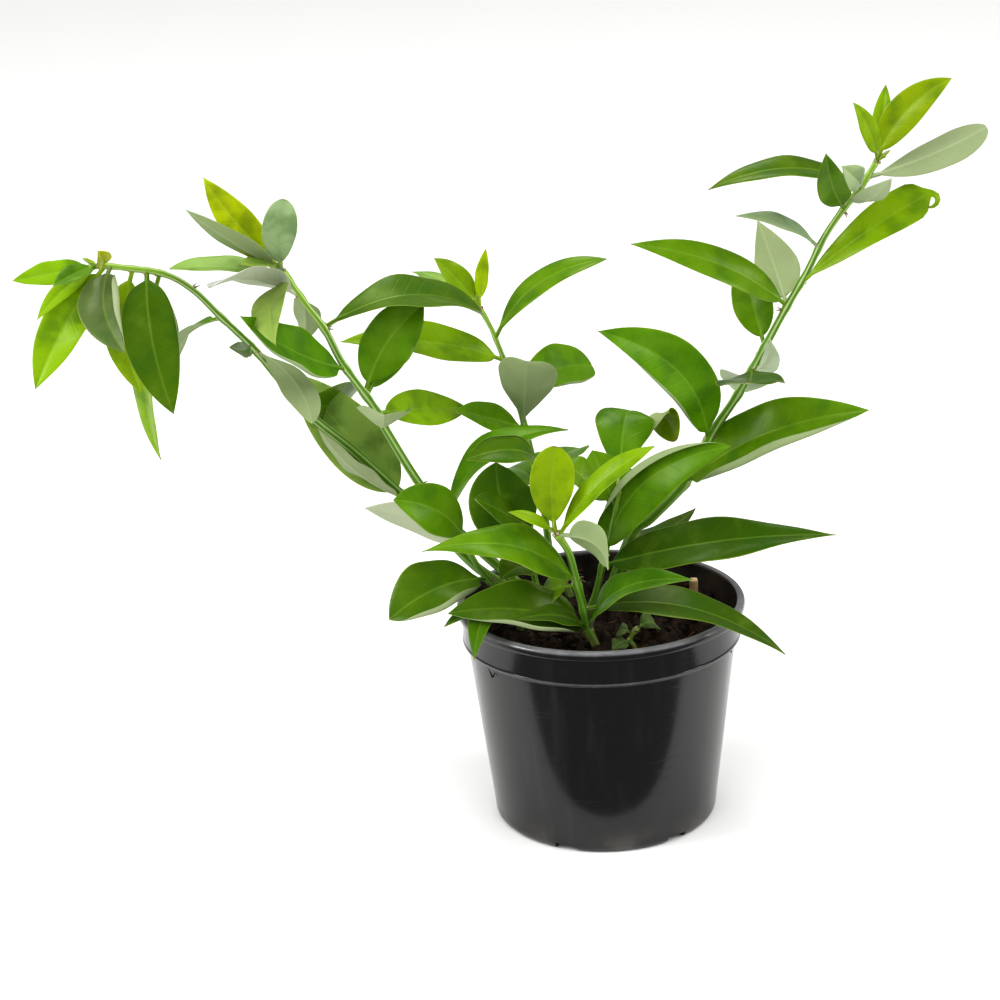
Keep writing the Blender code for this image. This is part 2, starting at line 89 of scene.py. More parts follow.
# The pot is one thin shell of black polypropylene, moulded in one shot: a rolled lip, an
# upright band with a ridge under it, a tapered wall, and a foot ring with drainage notches.
LIP_RADIUS = 65.0
POT_HEIGHT = 102.0
BAND_RADIUS = 62.4
BAND_BOTTOM = 86.0
BAND_STEP = 1.9
RIDGE_HALF = 1.4
BASE_RADIUS = 51.0
FOOT_OUTER = 48.0
FOOT_INNER = 40.5
CENTRE_DISC = 30.5
CHANNEL_HEIGHT = 2.2
WALL = 1.5
LIP_THICKNESS = 4.0
CRISP = 0.3
DRAIN_COUNT = 6
DRAIN_WIDTH = 10.0
DRAIN_HEIGHT = 3.2
DRAIN_FIRST_ANGLE = -54.0
SHARP_ANGLE = 50.0
TURN_STEPS = 180
CORNER_STEPS = 5
CORNER_SHARE = 0.49
AXIS_RADIUS = 0.00001


def rounded(corners):
    """A profile of (radius, height, corner radius) in millimetres with its corners rounded.

    Each corner becomes a quadratic curve that starts and ends its radius away from it, or
    just under half a side away where a side is short.
    """
    at = np.array(corners, float)
    points, corner, size = at[:, :2], at[1:-1, :2], at[1:-1, 2]

    def cut_off(neighbour):
        side = neighbour - corner
        room = np.linalg.norm(side, axis=1)
        share = np.minimum(size, room * CORNER_SHARE) / room
        return (corner + side * share[:, None])[:, None]

    start, end = cut_off(points[:-2]), cut_off(points[2:])
    t = np.linspace(0, 1, CORNER_STEPS)[None, :, None]
    curve = start * (1 - t) ** 2 + corner[:, None] * 2 * t * (1 - t) + end * t ** 2
    return np.concatenate([points[:1], curve.reshape(-1, 2), points[-1:]]) * MM


def skin(rings):
    """Quads round and along a stack of rings (rows, points, 3), with a fan at each end.

    The faces point outwards where the rings turn anticlockwise seen from the last one.
    """
    rows, around = rings.shape[:2]
    points = np.concatenate([rings.reshape(-1, 3), rings[[0, -1]].mean(axis=1)])
    row = np.arange(rows - 1)[:, None] * around
    here = np.arange(around)
    there = (here + 1) % around
    quads = np.stack([row + here, row + there, row + around + there, row + around + here], -1)
    top = (rows - 1) * around
    first = np.stack([there, here, np.full(around, rows * around)], -1)
    last = np.stack([top + here, top + there, np.full(around, rows * around + 1)], -1)
    return points, quads.reshape(-1, 4).tolist() + first.tolist() + last.tolist()


def piece(name, shapes, marks=None):
    """One object at the origin from a list of (points, faces), with marks for its material.

    Marks is a dictionary of arrays with one vector of three for each point.
    """
    points, faces, start = [], [], 0
    for shape_points, shape_faces in shapes:
        points.append(shape_points)
        faces += [[i + start for i in face] for face in shape_faces]
        start += len(shape_points)
    mesh = bpy.data.meshes.new(name)
    mesh.from_pydata(np.concatenate(points).tolist(), [], faces)
    for mark, values in (marks or {}).items():
        layer = mesh.attributes.new(mark, 'FLOAT_VECTOR', 'POINT')
        layer.data.foreach_set("vector", np.concatenate(values).ravel())
    mesh.shade_smooth()
    made = bpy.data.objects.new(name, mesh)
    scene.collection.objects.link(made)
    return made


def circle(steps):
    """Even angles all the way round."""
    return np.linspace(0, 2 * np.pi, steps, endpoint=False)


def turned(profile, steps):
    """Rings of a profile of (radius, height) turned about the pot's axis."""
    angle = circle(steps)
    radius = np.maximum(profile[:, 0], AXIS_RADIUS)[:, None]
    height = np.repeat(profile[:, 1:], steps, axis=1)
    return np.stack([radius * np.cos(angle), radius * np.sin(angle), height], -1)


inner_base = BASE_RADIUS - WALL
inner_band = BAND_RADIUS - WALL
under_lip = POT_HEIGHT - LIP_THICKNESS
pot_profile = rounded([
    (0, 0, 0), (CENTRE_DISC, 0, CRISP), (CENTRE_DISC + 0.6, CHANNEL_HEIGHT, CRISP),
    (FOOT_INNER - 0.3, CHANNEL_HEIGHT, CRISP), (FOOT_INNER + 0.5, 0, CRISP),
    (FOOT_OUTER, 0, 1.0), (BASE_RADIUS - 0.4, 1.6, 3.0), (BASE_RADIUS, 7.0, 3.0),
    (BAND_RADIUS - BAND_STEP, BAND_BOTTOM - RIDGE_HALF, 0.5),
    (BAND_RADIUS + 0.3, BAND_BOTTOM - 0.5, 0.4), (BAND_RADIUS + 0.5, BAND_BOTTOM + 0.5, 0.4),
    (BAND_RADIUS, BAND_BOTTOM + RIDGE_HALF, 0.5), (BAND_RADIUS + 0.2, under_lip, 0.6),
    (LIP_RADIUS - 0.7, under_lip, 0.7), (LIP_RADIUS, POT_HEIGHT - 2.0, 1.5),
    (LIP_RADIUS - 0.6, POT_HEIGHT, 1.6), (inner_band + 0.4, POT_HEIGHT, 0.5),
    (inner_band + 0.2, POT_HEIGHT - 2.0, 0.8), (inner_band, BAND_BOTTOM + 1, 0.8),
    (inner_band - BAND_STEP, BAND_BOTTOM - RIDGE_HALF, 0.8), (inner_base, 5.0, 2.0),
    (FOOT_OUTER - 1, WALL, 0.8), (FOOT_INNER + 1, WALL, CRISP),
    (FOOT_INNER, WALL + CHANNEL_HEIGHT, CRISP), (CENTRE_DISC, WALL + CHANNEL_HEIGHT, CRISP),
    (CENTRE_DISC - 1, WALL, CRISP), (0, WALL, 0)])
pot = piece("pot_shell", [skin(turned(pot_profile, TURN_STEPS))])

notch_start = FOOT_INNER - 1
notch_end = BASE_RADIUS + 2
notch_middle = (notch_start + notch_end) / 2 * MM
notches = bpy.data.collections.new("drain_notches")
for angle in circle(DRAIN_COUNT) + np.radians(DRAIN_FIRST_ANGLE):
    bpy.ops.mesh.primitive_cube_add(size=1)
    notch = bpy.context.object
    notch.dimensions = np.array([notch_end - notch_start, DRAIN_WIDTH, 2 * DRAIN_HEIGHT]) * MM
    notch.rotation_euler.z = angle
    notch.location = (notch_middle * np.cos(angle), notch_middle * np.sin(angle), 0)
    notches.objects.link(notch)
cut = pot.modifiers.new("drainage", 'BOOLEAN')
cut.operation = 'DIFFERENCE'
cut.operand_type = 'COLLECTION'
cut.collection = notches
cut.solver = 'EXACT'
shell = pot.evaluated_get(bpy.context.evaluated_depsgraph_get())
pot.data = bpy.data.meshes.new_from_object(shell)
pot.modifiers.clear()
pot.data.shade_smooth()
pot.data.set_sharp_from_angle(angle=np.radians(SHARP_ANGLE))
for notch in list(notches.objects):
    bpy.data.objects.remove(notch)
bpy.data.collections.remove(notches)


class Value:
    """A number that changes over a surface. Arithmetic on it adds Math nodes."""

    def __init__(self, finish, socket):
        self.finish = finish
        self.socket = socket

    def maths(self, operation, *inputs):
        return self.finish.node("Math", {"operation": operation}, dict(enumerate(inputs)))

    def __add__(self, other):
        return self.maths('ADD', self, other)

    def __sub__(self, other):
        return self.maths('SUBTRACT', self, other)

    def __rsub__(self, other):
        return self.maths('SUBTRACT', other, self)

    def __mul__(self, other):
        return self.maths('MULTIPLY', self, other)

    def __truediv__(self, other):
        return self.maths('DIVIDE', self, other)

    def __abs__(self):
        return self.maths('ABSOLUTE', self)

    __radd__ = __add__
    __rmul__ = __mul__

    def zigzag(self, height):
        """Up to the height and down again, over and over."""
        return self.maths('PINGPONG', self, height)

    def ease(self, low, high):
        """0 below the low value, 1 above the high one, and smooth between them."""
        return self.finish.node("MapRange", {"interpolation_type": 'SMOOTHSTEP'},
                                {0: self, 1: low, 2: high})


class Finish:
    """A material for one kind of surface, as a Principled shader and the nodes that feed it."""

    def __init__(self, name, **fixed):
        self.material = bpy.data.materials.new(name)
        self.material.use_nodes = True
        self.tree = self.material.node_tree
        self.shader = self.tree.nodes["Principled BSDF"]
        for socket, value in fixed.items():
            self.shader.inputs[socket.replace("_", " ")].default_value = value

    def node(self, kind, settings, inputs, output=0):
        """Adds a shader node, sets it up, feeds its inputs, and returns one of its outputs."""
        made = self.tree.nodes.new("ShaderNode" + kind)
        for setting, value in settings.items():
            setattr(made, setting, value)
        for socket, value in inputs.items():
            if isinstance(value, Value):
                self.tree.links.new(value.socket, made.inputs[socket])
            else:
                made.inputs[socket].default_value = value
        return Value(self, made.outputs[output])

    def place(self, scale=(1, 1, 1)):
        """The point on the piece, in metres times a scale."""
        here = self.node("TexCoord", {}, {}, "Object")
        return self.node("Mapping", {}, {"Vector": here, "Scale": scale})

    def marks(self, name):
        """The three numbers of that vector."""
        vector = self.vector(name)
        return [self.node("SeparateXYZ", {}, {0: vector}, axis) for axis in "XYZ"]

    def height(self):
        """How high the point is above the floor, in metres."""
        return self.node("SeparateXYZ", {}, {0: self.place()}, "Z")

    def vector(self, name):
        """The vector that each point of the mesh carries under a name."""
        return self.node("Attribute", {"attribute_name": name}, {}, "Vector")

    def noise(self, where, scale, detail=3.0, roughness=0.5):
        return self.node("TexNoise", {}, {
            "Vector": where, "Scale": scale, "Detail": detail, "Roughness": roughness})

    def mix(self, amount, first, second):
        """A colour between the first, at 0, and the second, at 1."""
        return self.node("Mix", {"data_type": 'RGBA'}, {0: amount, 6: first, 7: second}, 2)

    def bump(self, height, strength, distance):
        return self.node("Bump", {}, {
            "Height": height, "Strength": strength, "Distance": distance}, "Normal")

    def wear(self, **links):
        """Feeds sockets of the shader, named with underscores for spaces."""
        for socket, value in links.items():
            self.tree.links.new(value.socket, self.shader.inputs[socket.replace("_", " ")])
        return self.material


# Black polypropylene: half gloss, with faint upright streaks from wiping, fine scratches
# round the band, and a thin film of dried soil water below the lip and near the foot. The
# rolled lip is painted lighter, partly as wear and partly as a painted highlight, and a thin
# painted highlight runs along the ridge under the band.
POT_BLACK = (0.0028, 0.0028, 0.0030, 1)
POT_RUBBED = (0.040, 0.040, 0.043, 1)
# A light grey for the lip, partly wear and partly a painted highlight, and for the ridge's painted
# highlight.
EDGE_WEAR_AND_HIGHLIGHT = (0.220, 0.220, 0.230, 1)
SOIL_FILM = (0.085, 0.070, 0.058, 1)

plastic = Finish("black_polypropylene", IOR=1.55)
streaks = plastic.noise(plastic.place((150, 150, 5)), 1.0, 3.0, 0.6)
cloudy = plastic.noise(plastic.place(), 38.0, 4.0, 0.6)
scratches = plastic.noise(plastic.place((14, 14, 900)), 1.0, 4.0, 0.7).ease(0.60, 0.72)
specks = plastic.noise(plastic.place(), 900.0, 2.0, 0.5).ease(0.66, 0.74)
height_on_pot = plastic.height()
on_band = height_on_pot.ease((BAND_BOTTOM - 2) * MM, (BAND_BOTTOM + 1) * MM)
rubbed = streaks.ease(0.48, 0.85) * 0.35 + scratches * on_band * 0.35 + specks * 0.35
film = (1 - height_on_pot.ease(0, 14 * MM)) * cloudy.ease(0.40, 0.65) * 0.6
from_axis = plastic.node("VectorMath", {"operation": 'LENGTH'}, {0: plastic.place((1, 1, 0))}, 1)
inside = (1 - from_axis.ease((inner_band + 0.3) * MM, (inner_band + 0.9) * MM)) * on_band
# Where the lip is painted lighter, as wear and as a painted highlight, and the thin painted
# highlight line along the ridge.
lip_wear_and_highlight = height_on_pot.ease((POT_HEIGHT - 1.8) * MM, (POT_HEIGHT - 0.4) * MM)
ridge_painted_highlight = (height_on_pot.ease((BAND_BOTTOM - 0.4) * MM, (BAND_BOTTOM + 0.2) * MM)
            * (0.5 - height_on_pot.ease((BAND_BOTTOM + 0.5) * MM, (BAND_BOTTOM + 1.0) * MM) * 0.5))
pot_colour = plastic.mix(rubbed * 0.8, POT_BLACK, POT_RUBBED)
pot_colour = plastic.mix((lip_wear_and_highlight + ridge_painted_highlight) * (0.25 + streaks * 0.75), pot_colour, EDGE_WEAR_AND_HIGHLIGHT)
pot_colour = plastic.mix(film + inside * cloudy.ease(0.2, 0.6) * 0.7, pot_colour, SOIL_FILM)
pot.data.materials.append(plastic.wear(
    Base_Color=pot_colour,
    Roughness=0.05 + streaks * 0.14 + cloudy * 0.10 + film * 0.3,
    Normal=plastic.bump(cloudy * 0.6 + streaks * 0.5 + scratches * 0.3, 0.10, 0.0008)))
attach(pot, "root")
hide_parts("pot")


# The soil is peat-based compost, nearly black, pressed in by hand to a finger's width below
# the lip. Its top is lumpy and strewn with crumbs and threads of brown fibre.
SOIL_TOP = 88.0
SOIL_MOUND = 2.0
MOUND_RADIUS = 60.0
FIT_GAP = 0.3
SOIL_STEPS = 200
SOIL_ROWS = 60
LUMP_WAVES = 60
LUMP_SHORTEST = 2.5
LUMP_LONGEST = 26.0
LUMP_DEPTH = 0.045
CRUMB_COUNT = 900
CRUMB_SIZES = (0.5, 2.3)
CRUMB_STRETCH = (1, 1.6)
CRUMB_FLATNESS = 0.7
CRUMB_KNOBS = 0.22
CRUMB_LIFT = 0.25
CRUMB_MARGIN = 3.0
FIBRE_COUNT = 70
FIBRE_LENGTHS = (3, 9)
FIBRE_RADII = (0.18, 0.5)
FIBRE_BEND = 0.35
FIBRE_SLANT = 0.1
FIBRE_LIFT = 0.4
FIBRE_MARGIN = 9.0
draw = np.random.default_rng(17)

lump_length = np.exp(draw.uniform(np.log(LUMP_SHORTEST), np.log(LUMP_LONGEST), LUMP_WAVES))
lump_way = draw.uniform(0, 2 * np.pi, LUMP_WAVES)
lump_start = draw.uniform(0, 2 * np.pi, LUMP_WAVES)


def soil_height(x, y):
    """Height of the soil's top: a low mound plus sixty waves of random length and heading."""
    radius = np.hypot(x, y) / MM
    mound = SOIL_MOUND * np.clip(1 - radius / MOUND_RADIUS, 0, 1)
    travel = x[..., None] * np.cos(lump_way) + y[..., None] * np.sin(lump_way)
    waves = np.sin(2 * np.pi * travel / (lump_length * MM) + lump_start) * lump_length
    return (SOIL_TOP + mound + LUMP_DEPTH * waves.sum(-1)) * MM


soil_inner_base = inner_base - FIT_GAP
soil_inner_band = inner_band - FIT_GAP
soil_floor = WALL + CHANNEL_HEIGHT + FIT_GAP
soil_side = rounded([
    (0, soil_floor, 0), (soil_inner_base - 0.6, soil_floor, 1.0), (soil_inner_base, 6.0, 1.0),
    (soil_inner_band - 2.1, BAND_BOTTOM - 1.4, 0.8), (soil_inner_band - 0.2, SOIL_TOP, 0.1)])
soil_rings = turned(soil_side[:-1], SOIL_STEPS)
top_radius = np.linspace(soil_inner_band - 0.2, 0.3, SOIL_ROWS) * MM
top_rings = turned(np.stack([top_radius, top_radius * 0], -1), SOIL_STEPS)
top_rings[..., 2] = soil_height(top_rings[..., 0], top_rings[..., 1])
soil = piece("soil_bed", [skin(np.concatenate([soil_rings, top_rings]))])


def ball(rows, around):
    """Rings of a ball of radius 1 about the origin, from its lowest ring to its highest."""
    tilt = np.linspace(-np.pi / 2, np.pi / 2, rows + 2)[1:-1, None]
    angle = circle(around)[None, :]
    return np.stack([np.cos(tilt) * np.cos(angle), np.cos(tilt) * np.sin(angle),
                     np.sin(tilt) + 0 * angle], -1)


def crumb(middle, size, stretch, turn_angle):
    """A lump of peat: a ball with knobbly, flattened, turned rings."""
    rings = ball(3, 6)
    knobs = 1 + CRUMB_KNOBS * draw.standard_normal(rings.shape[:2] + (1,))
    rings = rings * knobs * np.array([stretch, 1, CRUMB_FLATNESS]) * size
    c, s = np.cos(turn_angle), np.sin(turn_angle)
    rings = rings @ np.array([[c, s, 0], [-s, c, 0], [0, 0, 1]])
    return skin(rings + middle)


def strewn(count, margin):
    """Random places spread evenly over the soil's top, up to that far from its rim."""
    radius = np.sqrt(draw.uniform(0, 1, count)) * (soil_inner_band - margin) * MM
    angle = draw.uniform(0, 2 * np.pi, count)
    x, y = radius * np.cos(angle), radius * np.sin(angle)
    return np.stack([x, y, soil_height(x, y)], -1)


crumb_places = strewn(CRUMB_COUNT, CRUMB_MARGIN)
smallest, largest = CRUMB_SIZES
crumb_sizes = (smallest + (largest - smallest) * draw.uniform(0, 1, CRUMB_COUNT) ** 3) * MM
crumb_places[:, 2] += crumb_sizes * CRUMB_LIFT
crumbs = piece("soil_crumbs", [
    crumb(place, size, draw.uniform(*CRUMB_STRETCH), draw.uniform(0, np.pi))
    for place, size in zip(crumb_places, crumb_sizes)])


def unit(vectors):
    """The vectors at a length of one."""
    return vectors / np.linalg.norm(vectors, axis=-1, keepdims=True)


def strand(line, radius, around):
    """Rings of a tube along a line of points, with a radius for each point.

    The rings stand square to the line, and their first point lies as near to the eye's
    side as that allows.
    """
    way = unit(np.gradient(line, axis=0))
    first = unit(-EYE_AHEAD - (way @ -EYE_AHEAD)[:, None] * way)
    second = np.cross(way, first)
    angle = circle(around)
    radius = np.broadcast_to(np.asarray(radius, float).T, (around, len(line))).T
    return (line[:, None] + (first[:, None] * np.cos(angle)[:, None]
                             + second[:, None] * np.sin(angle)[:, None]) * radius[..., None])


def fibre(middle, length, heading, radius):
    """A thread of root or bark that lies on the soil in a shallow arc."""
    t = np.linspace(-1, 1, 7)
    bend = draw.uniform(-FIBRE_BEND, FIBRE_BEND)
    along = np.array([np.cos(heading), np.sin(heading), draw.uniform(-FIBRE_SLANT, FIBRE_SLANT)])
    aside = np.array([-np.sin(heading), np.cos(heading), 0])
    line = middle + (t[:, None] * along + bend * (t ** 2)[:, None] * aside) * length / 2
    line[:, 2] = np.maximum(line[:, 2], soil_height(line[:, 0], line[:, 1]))
    return skin(strand(line, radius * (1.05 - t ** 2), 5))


fibre_places = strewn(FIBRE_COUNT, FIBRE_MARGIN) + np.array([0, 0, FIBRE_LIFT * MM])
fibres = piece("soil_fibres", [
    fibre(place, draw.uniform(*FIBRE_LENGTHS) * MM, draw.uniform(0, np.pi),
          draw.uniform(*FIBRE_RADII) * MM)
    for place in fibre_places])

PEAT_DARK = (0.011, 0.0070, 0.0048, 1)
PEAT_BROWN = (0.050, 0.027, 0.015, 1)
BARK_BROWN = (0.125, 0.062, 0.030, 1)

peat = Finish("moist_peat", IOR=1.35)
grain = peat.noise(peat.place(), 420.0, 6.0, 0.7)
patches = peat.noise(peat.place(), 60.0, 3.0, 0.5)
peat_colour = peat.mix(grain.ease(0.42, 0.68) * 0.7 + patches.ease(0.5, 0.7) * 0.3,
                       PEAT_DARK, PEAT_BROWN)
peat_material = peat.wear(
    Base_Color=peat_colour,
    Roughness=0.95 - patches * 0.25,
    Normal=peat.bump(grain, 0.8, 0.0012))
bark = Finish("bark_threads", IOR=1.4, Roughness=0.85)
thread_grain = bark.noise(bark.place(), 500.0, 3.0, 0.6)
bark_material = bark.wear(
    Base_Color=bark.mix(thread_grain.ease(0.35, 0.7), PEAT_BROWN, BARK_BROWN))
for bit, stuff in ((soil, peat_material), (crumbs, peat_material), (fibres, bark_material)):
    bit.data.materials.append(stuff)
    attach(bit, "root")
    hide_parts("soil")


# The plant is four long stems, four low shoots and a seedling that grew side by side, each
# with its own leaves. They are juicy and unbranched, and lean and arch as their leaves pull
# them.
#
# A place on it is written as the pixel that the eye sees it at, with its depth in millimetres
# behind the pot's axis. A stem has its foot on the soil, in millimetres, its route from low to
# high, its radii at the foot and at the end, the pixels of the nodes that bear thorns, a letter
# of TONES for each leaf, and its leaves. A leaf has the pixel where it leaves the stem, its
# tip's pixel and depth, and its width, face, arch, bow and fold. Some also have widest, curl,
# roll, hook and crease. What each of these does is said under leaf_shape.
PLANTS = {
    "stem_left_long": dict(
        foot=(-26, 24),
        route=[(478, 568, 26), (440, 530, 27), (397, 490, 26), (352, 449, 23), (314, 418, 20),
               (282, 383, 15), (253, 348, 10), (221, 317, 3), (193, 290, -4), (164, 274, -10),
               (126, 268, -16), (97, 265, -20)],
        radius=(2.6, 1.2),
        spines=[(194, 287), (256, 346), (314, 420)],
        tones="lmlnlgldlmdmpdmd",
        leaves=[
            (97, 265, 12, 281, -26, 12, 30, 0, 0, 10),
            (97, 265, 53, 286, -50, 10, 40, .03, 0, 14),
            (100, 266, 37, 320, -44, 9, 30, .03, .05, 10),
            (102, 266, 98, 251, -44, 9, 30, .05, 0, 16, .5),
            (106, 267, 35, 390, -45, 21, 20, .04, .03, 10),
            (112, 267, 125, 353, -62, 23, 10, .05, .10, 14, .42, 0, -165),
            (134, 268, 142, 394, -20, 20, 30, .05, .08, 10),
            (147, 270, 174, 415, -42, 26, 0, .10, .05, 12, .42, 0, -130, 0, .84),
            (160, 272, 161, 460, 8, 20, 55, .09, 0, 12),
            (221, 319, 170, 385, 22, 20, 105, .17, 0, 12),
            (253, 343, 229, 347, -28, 8, 20, 0, -.05, 10),
            (257, 352, 312, 424, -26, 17, 145, -.05, .09, 8, .55),
            (404, 497, 292, 372, 44, 31, 15, .06, -.02, 8),
            (405, 498, 318, 428, 5, 15, 115, -.08, 0, 8),
            (300, 402, 345, 395, 90, 28, 30, .12, 0, 12),
            (147, 270, 152, 350, 48, 26, 0, .12, 0, 12),
        ]),
    "stem_left_upright": dict(
        foot=(-18, 6),
        route=[(520, 585, 4), (455, 528, 2), (420, 485, 0), (388, 433, -2), (374, 407, -4),
               (343, 364, -8), (325, 330, -10), (304, 302, -13), (282, 270, -16)],
        radius=(2.7, 1.4),
        spines=[(325, 330), (374, 407), (420, 485)],
        tones="ymwppspmmdmmlmm",
        leaves=[
            (272, 259, 203, 177, -22, 16, 10, 0, -.03, 8),
            (274, 261, 186, 210, -38, 16, 120, -.02, 0, 8),
            (282, 266, 284, 199, -30, 15, 0, .10, -.05, 10, .62),
            (284, 275, 169, 269, -20, 17, 62, .04, 0, 12, .55),
            (278, 266, 240, 265, -30, 10, 60, .12, 0, 8),
            (300, 297, 209, 288, -48, 24, 112, .12, 0, 10, .55),
            (286, 280, 276, 346, -56, 20, 45, .10, .06, 10, .36),
            (302, 299, 304, 342, 30, 15, -150, .06, 0, 10),
            (347, 369, 240, 316, -46, 25, 45, -.02, -.05, 8, .42, 0, -150, 0, .80),
            (325, 328, 482, 313, 24, 28, -60, .16, 0, 10, .6),
            (368, 393, 424, 304, 10, 25, 10, .05, -.10, 12, .5),
            (380, 420, 384, 415, -48, 34, -150, -.08, 0, 38, .5),
            (378, 412, 468, 408, 40, 20, -30, .02, 0, 10),
            (368, 394, 404, 325, 55, 18, 0, .12, 0, 10),
            (448, 520, 569, 430, 12, 23, -60, .22, 0, 10),
        ]),
    "stem_middle": dict(
        foot=(-12, 38),
        route=[(552, 560, 42), (544, 510, 44), (535, 468, 46), (524, 423, 47), (514, 392, 48),
               (504, 360, 49), (497, 342, 50), (491, 328, 51), (480, 308, 52)],
        radius=(2.2, 1.0),
        spines=[(504, 360), (524, 423)],
        tones="lypmlmmmmm",
        leaves=[
            (480, 308, 434, 258, 42, 14, 30, 0, .03, 8),
            (480, 308, 486, 248, 48, 7, 20, 0, -.03, 10),
            (483, 314, 412, 272, 74, 22, 60, .10, 0, 8),
            (500, 338, 607, 259, 48, 19, -55, .17, 0, 8, .5),
            (503, 360, 340, 342, 32, 22, 40, .09, 0, 10),
            (523, 422, 527, 362, 22, 30, 175, -.06, 0, 26, .68),
            (514, 395, 592, 366, 78, 25, -25, .08, -.06, 8, .6, 0, 150, 0, .82),
            (524, 430, 455, 411, 20, 19, 45, .02, 0, 8),
            (540, 490, 586, 450, 90, 28, -60, .12, 0, 10),
            (540, 490, 500, 475, 96, 28, 60, .12, 0, 10),
        ]),
    "stem_right": dict(
        foot=(6, 38),
        route=[(632, 535, 36), (652, 517, 34), (687, 480, 31), (712, 433, 28), (738, 394, 26),
               (763, 350, 24), (785, 310, 21), (806, 274, 19), (824, 238, 17), (842, 211, 14),
               (861, 187, 12), (877, 161, 10)],
        radius=(3.0, 1.2),
        spines=[(712, 433), (785, 310), (842, 211)],
        tones="mmosmmmwdmwwldlllwo",
        leaves=[
            (708, 440, 597, 331, 2, 28, 14, .10, .13, 10, .42, 0, -165, 0, .80),
            (684, 484, 870, 410, 6, 32, -30, .12, -.02, 8, .42, 0, 165, 0, .66),
            (753, 370, 747, 383, -34, 32, 26, -.04, 0, 4, .5),
            (757, 377, 770, 338, 18, 13, 170, .05, -.16, 12, .30),
            (764, 347, 741, 262, 52, 19, 0, .05, 0, 10),
            (785, 306, 630, 244, 2, 19, 35, .10, .02, 8),
            (785, 304, 757, 219, 46, 22, 165, .05, 0, 12, .36),
            (820, 248, 735, 216, 2, 12, 60, .11, 0, 12, .38),
            (862, 186, 708, 190, -8, 18, 58, .14, 0, 10),
            (845, 207, 826, 153, -16, 15, 0, .06, -.04, 14),
            (862, 186, 842, 166, -12, 12, 20, .06, 0, 12),
            (852, 199, 892, 178, -18, 12, -130, -.12, 0, 12),
            (808, 288, 955, 180, 8, 18, -25, .06, -.01, 8, .66, 0, 0, 230),
            (870, 178, 987, 127, 6, 16, 150, 0, -.04, 8, .62),
            (875, 160, 952, 78, 2, 16, -10, .05, -.10, 10, .45),
            (874, 158, 853, 102, -6, 9, 20, .04, .04, 12),
            (875, 160, 886, 84, 16, 9, 0, .05, 0, 10),
            (738, 394, 750, 381, 92, 26, -30, .05, 0, 10),
            (632, 535, 696, 508, 80, 13, -60, -.08, 0, 10),
        ]),
    "shoot_front": dict(
        foot=(-3, -29),
        route=[(588, 630, -30), (583, 607, -32), (576, 580, -34), (569, 553, -36),
               (556, 533, -38)],
        radius=(2.5, 1.5),
        spines=[(576, 580)],
        tones="llmmldodom",
        leaves=[
            (556, 533, 556, 446, -36, 20, 0, .05, -.05, 14, .6),
            (560, 537, 655, 446, -42, 15, -50, .10, 0, 10, .48),
            (558, 535, 608, 570, -68, 22, -125, .18, .03, 8),
            (577, 585, 421, 552, -52, 26, 45, .20, 0, 8, .34),
            (556, 533, 508, 512, -48, 7, 40, .08, 0, 14),
            (588, 633, 447, 614, -42, 28, 35, .16, 0, 12, .42, 0, -140, 0, .78),
            (588, 630, 517, 620, -52, 13, 50, .14, 0, 8),
            (589, 633, 693, 580, -58, 20, -55, .20, 0, 10),
            (584, 610, 786, 655, -57, 23, -52, .15, 0, 8),
            (575, 587, 541, 600, -18, 19, 40, .16, 0, 8, .5),
        ]),
    "shoot_right": dict(
        foot=(-6, 10),
        route=[(596, 592, 8), (603, 562, 6), (612, 525, 4), (620, 488, 2)],
        radius=(2.0, 1.2),
        spines=[(603, 562)],
        tones="momlml",
        leaves=[
            (605, 556, 733, 446, -14, 27, -15, .08, -.145, 8, .42, 0, -155, 0, .53),
            (602, 567, 837, 535, -6, 28, -40, .06, 0, 10, .36),
            (620, 488, 631, 411, 40, 27, 0, .10, -.05, 2, .60, .18),
            (620, 488, 676, 441, 40, 20, 110, -.30, .15, 8, .6, .50),
            (615, 510, 592, 450, 10, 24, 10, .08, 0, 8),
            (612, 525, 640, 470, 30, 26, 0, .08, 0, 8),
        ]),
    "shoot_left": dict(
        foot=(-36, -2),
        route=[(510, 600, -6), (490, 582, -9), (474, 560, -12), (464, 540, -15)],
        radius=(1.9, 1.2),
        spines=[(490, 582)],
        tones="msddd",
        leaves=[
            (465, 542, 393, 500, -32, 23, 20, .10, .10, 8, .5),
            (468, 548, 364, 508, -6, 18, 140, .10, 0, 8),
            (488, 580, 389, 620, -32, 33, 35, .17, 0, 8, .5, 0, -150, 0, .74),
            (512, 602, 474, 661, -60, 16, 40, .22, 0, 8),
            (510, 600, 444, 627, -42, 13, 60, .04, 0, 8),
        ]),
    "shoot_middle": dict(
        foot=(-20, -4),
        route=[(538, 590, -6), (532, 560, -8), (530, 530, -9), (536, 500, -9), (545, 465, -8)],
        radius=(1.8, 1.1),
        spines=[(532, 560)],
        tones="dddmo",
        leaves=[
            (531, 548, 496, 462, -8, 32, 0, .06, -.10, 8, .52),
            (532, 530, 475, 499, -30, 18, 50, .02, 0, 8, .5),
            (545, 468, 467, 460, -28, 19, 50, .20, 0, 8, .5, 0, 150, 0, .76),
            (545, 466, 593, 497, -14, 20, -50, .26, 0, 8),
            (534, 570, 500, 580, -30, 18, 50, .14, 0, 8),
        ]),
    "seedling": dict(
        foot=(14, -32),
        route=[(630, 640, -30), (636, 630, -30)],
        radius=(1.3, .9),
        spines=[],
        tones="ggg",
        leaves=[
            (633, 634, 658, 633, -24, 12, -50, .50, 0, 8),
            (634, 634, 616, 636, -26, 9, 50, .35, 0, 8),
            (630, 641, 612, 650, -36, 9, 40, .15, 0, 8),
        ]),
}


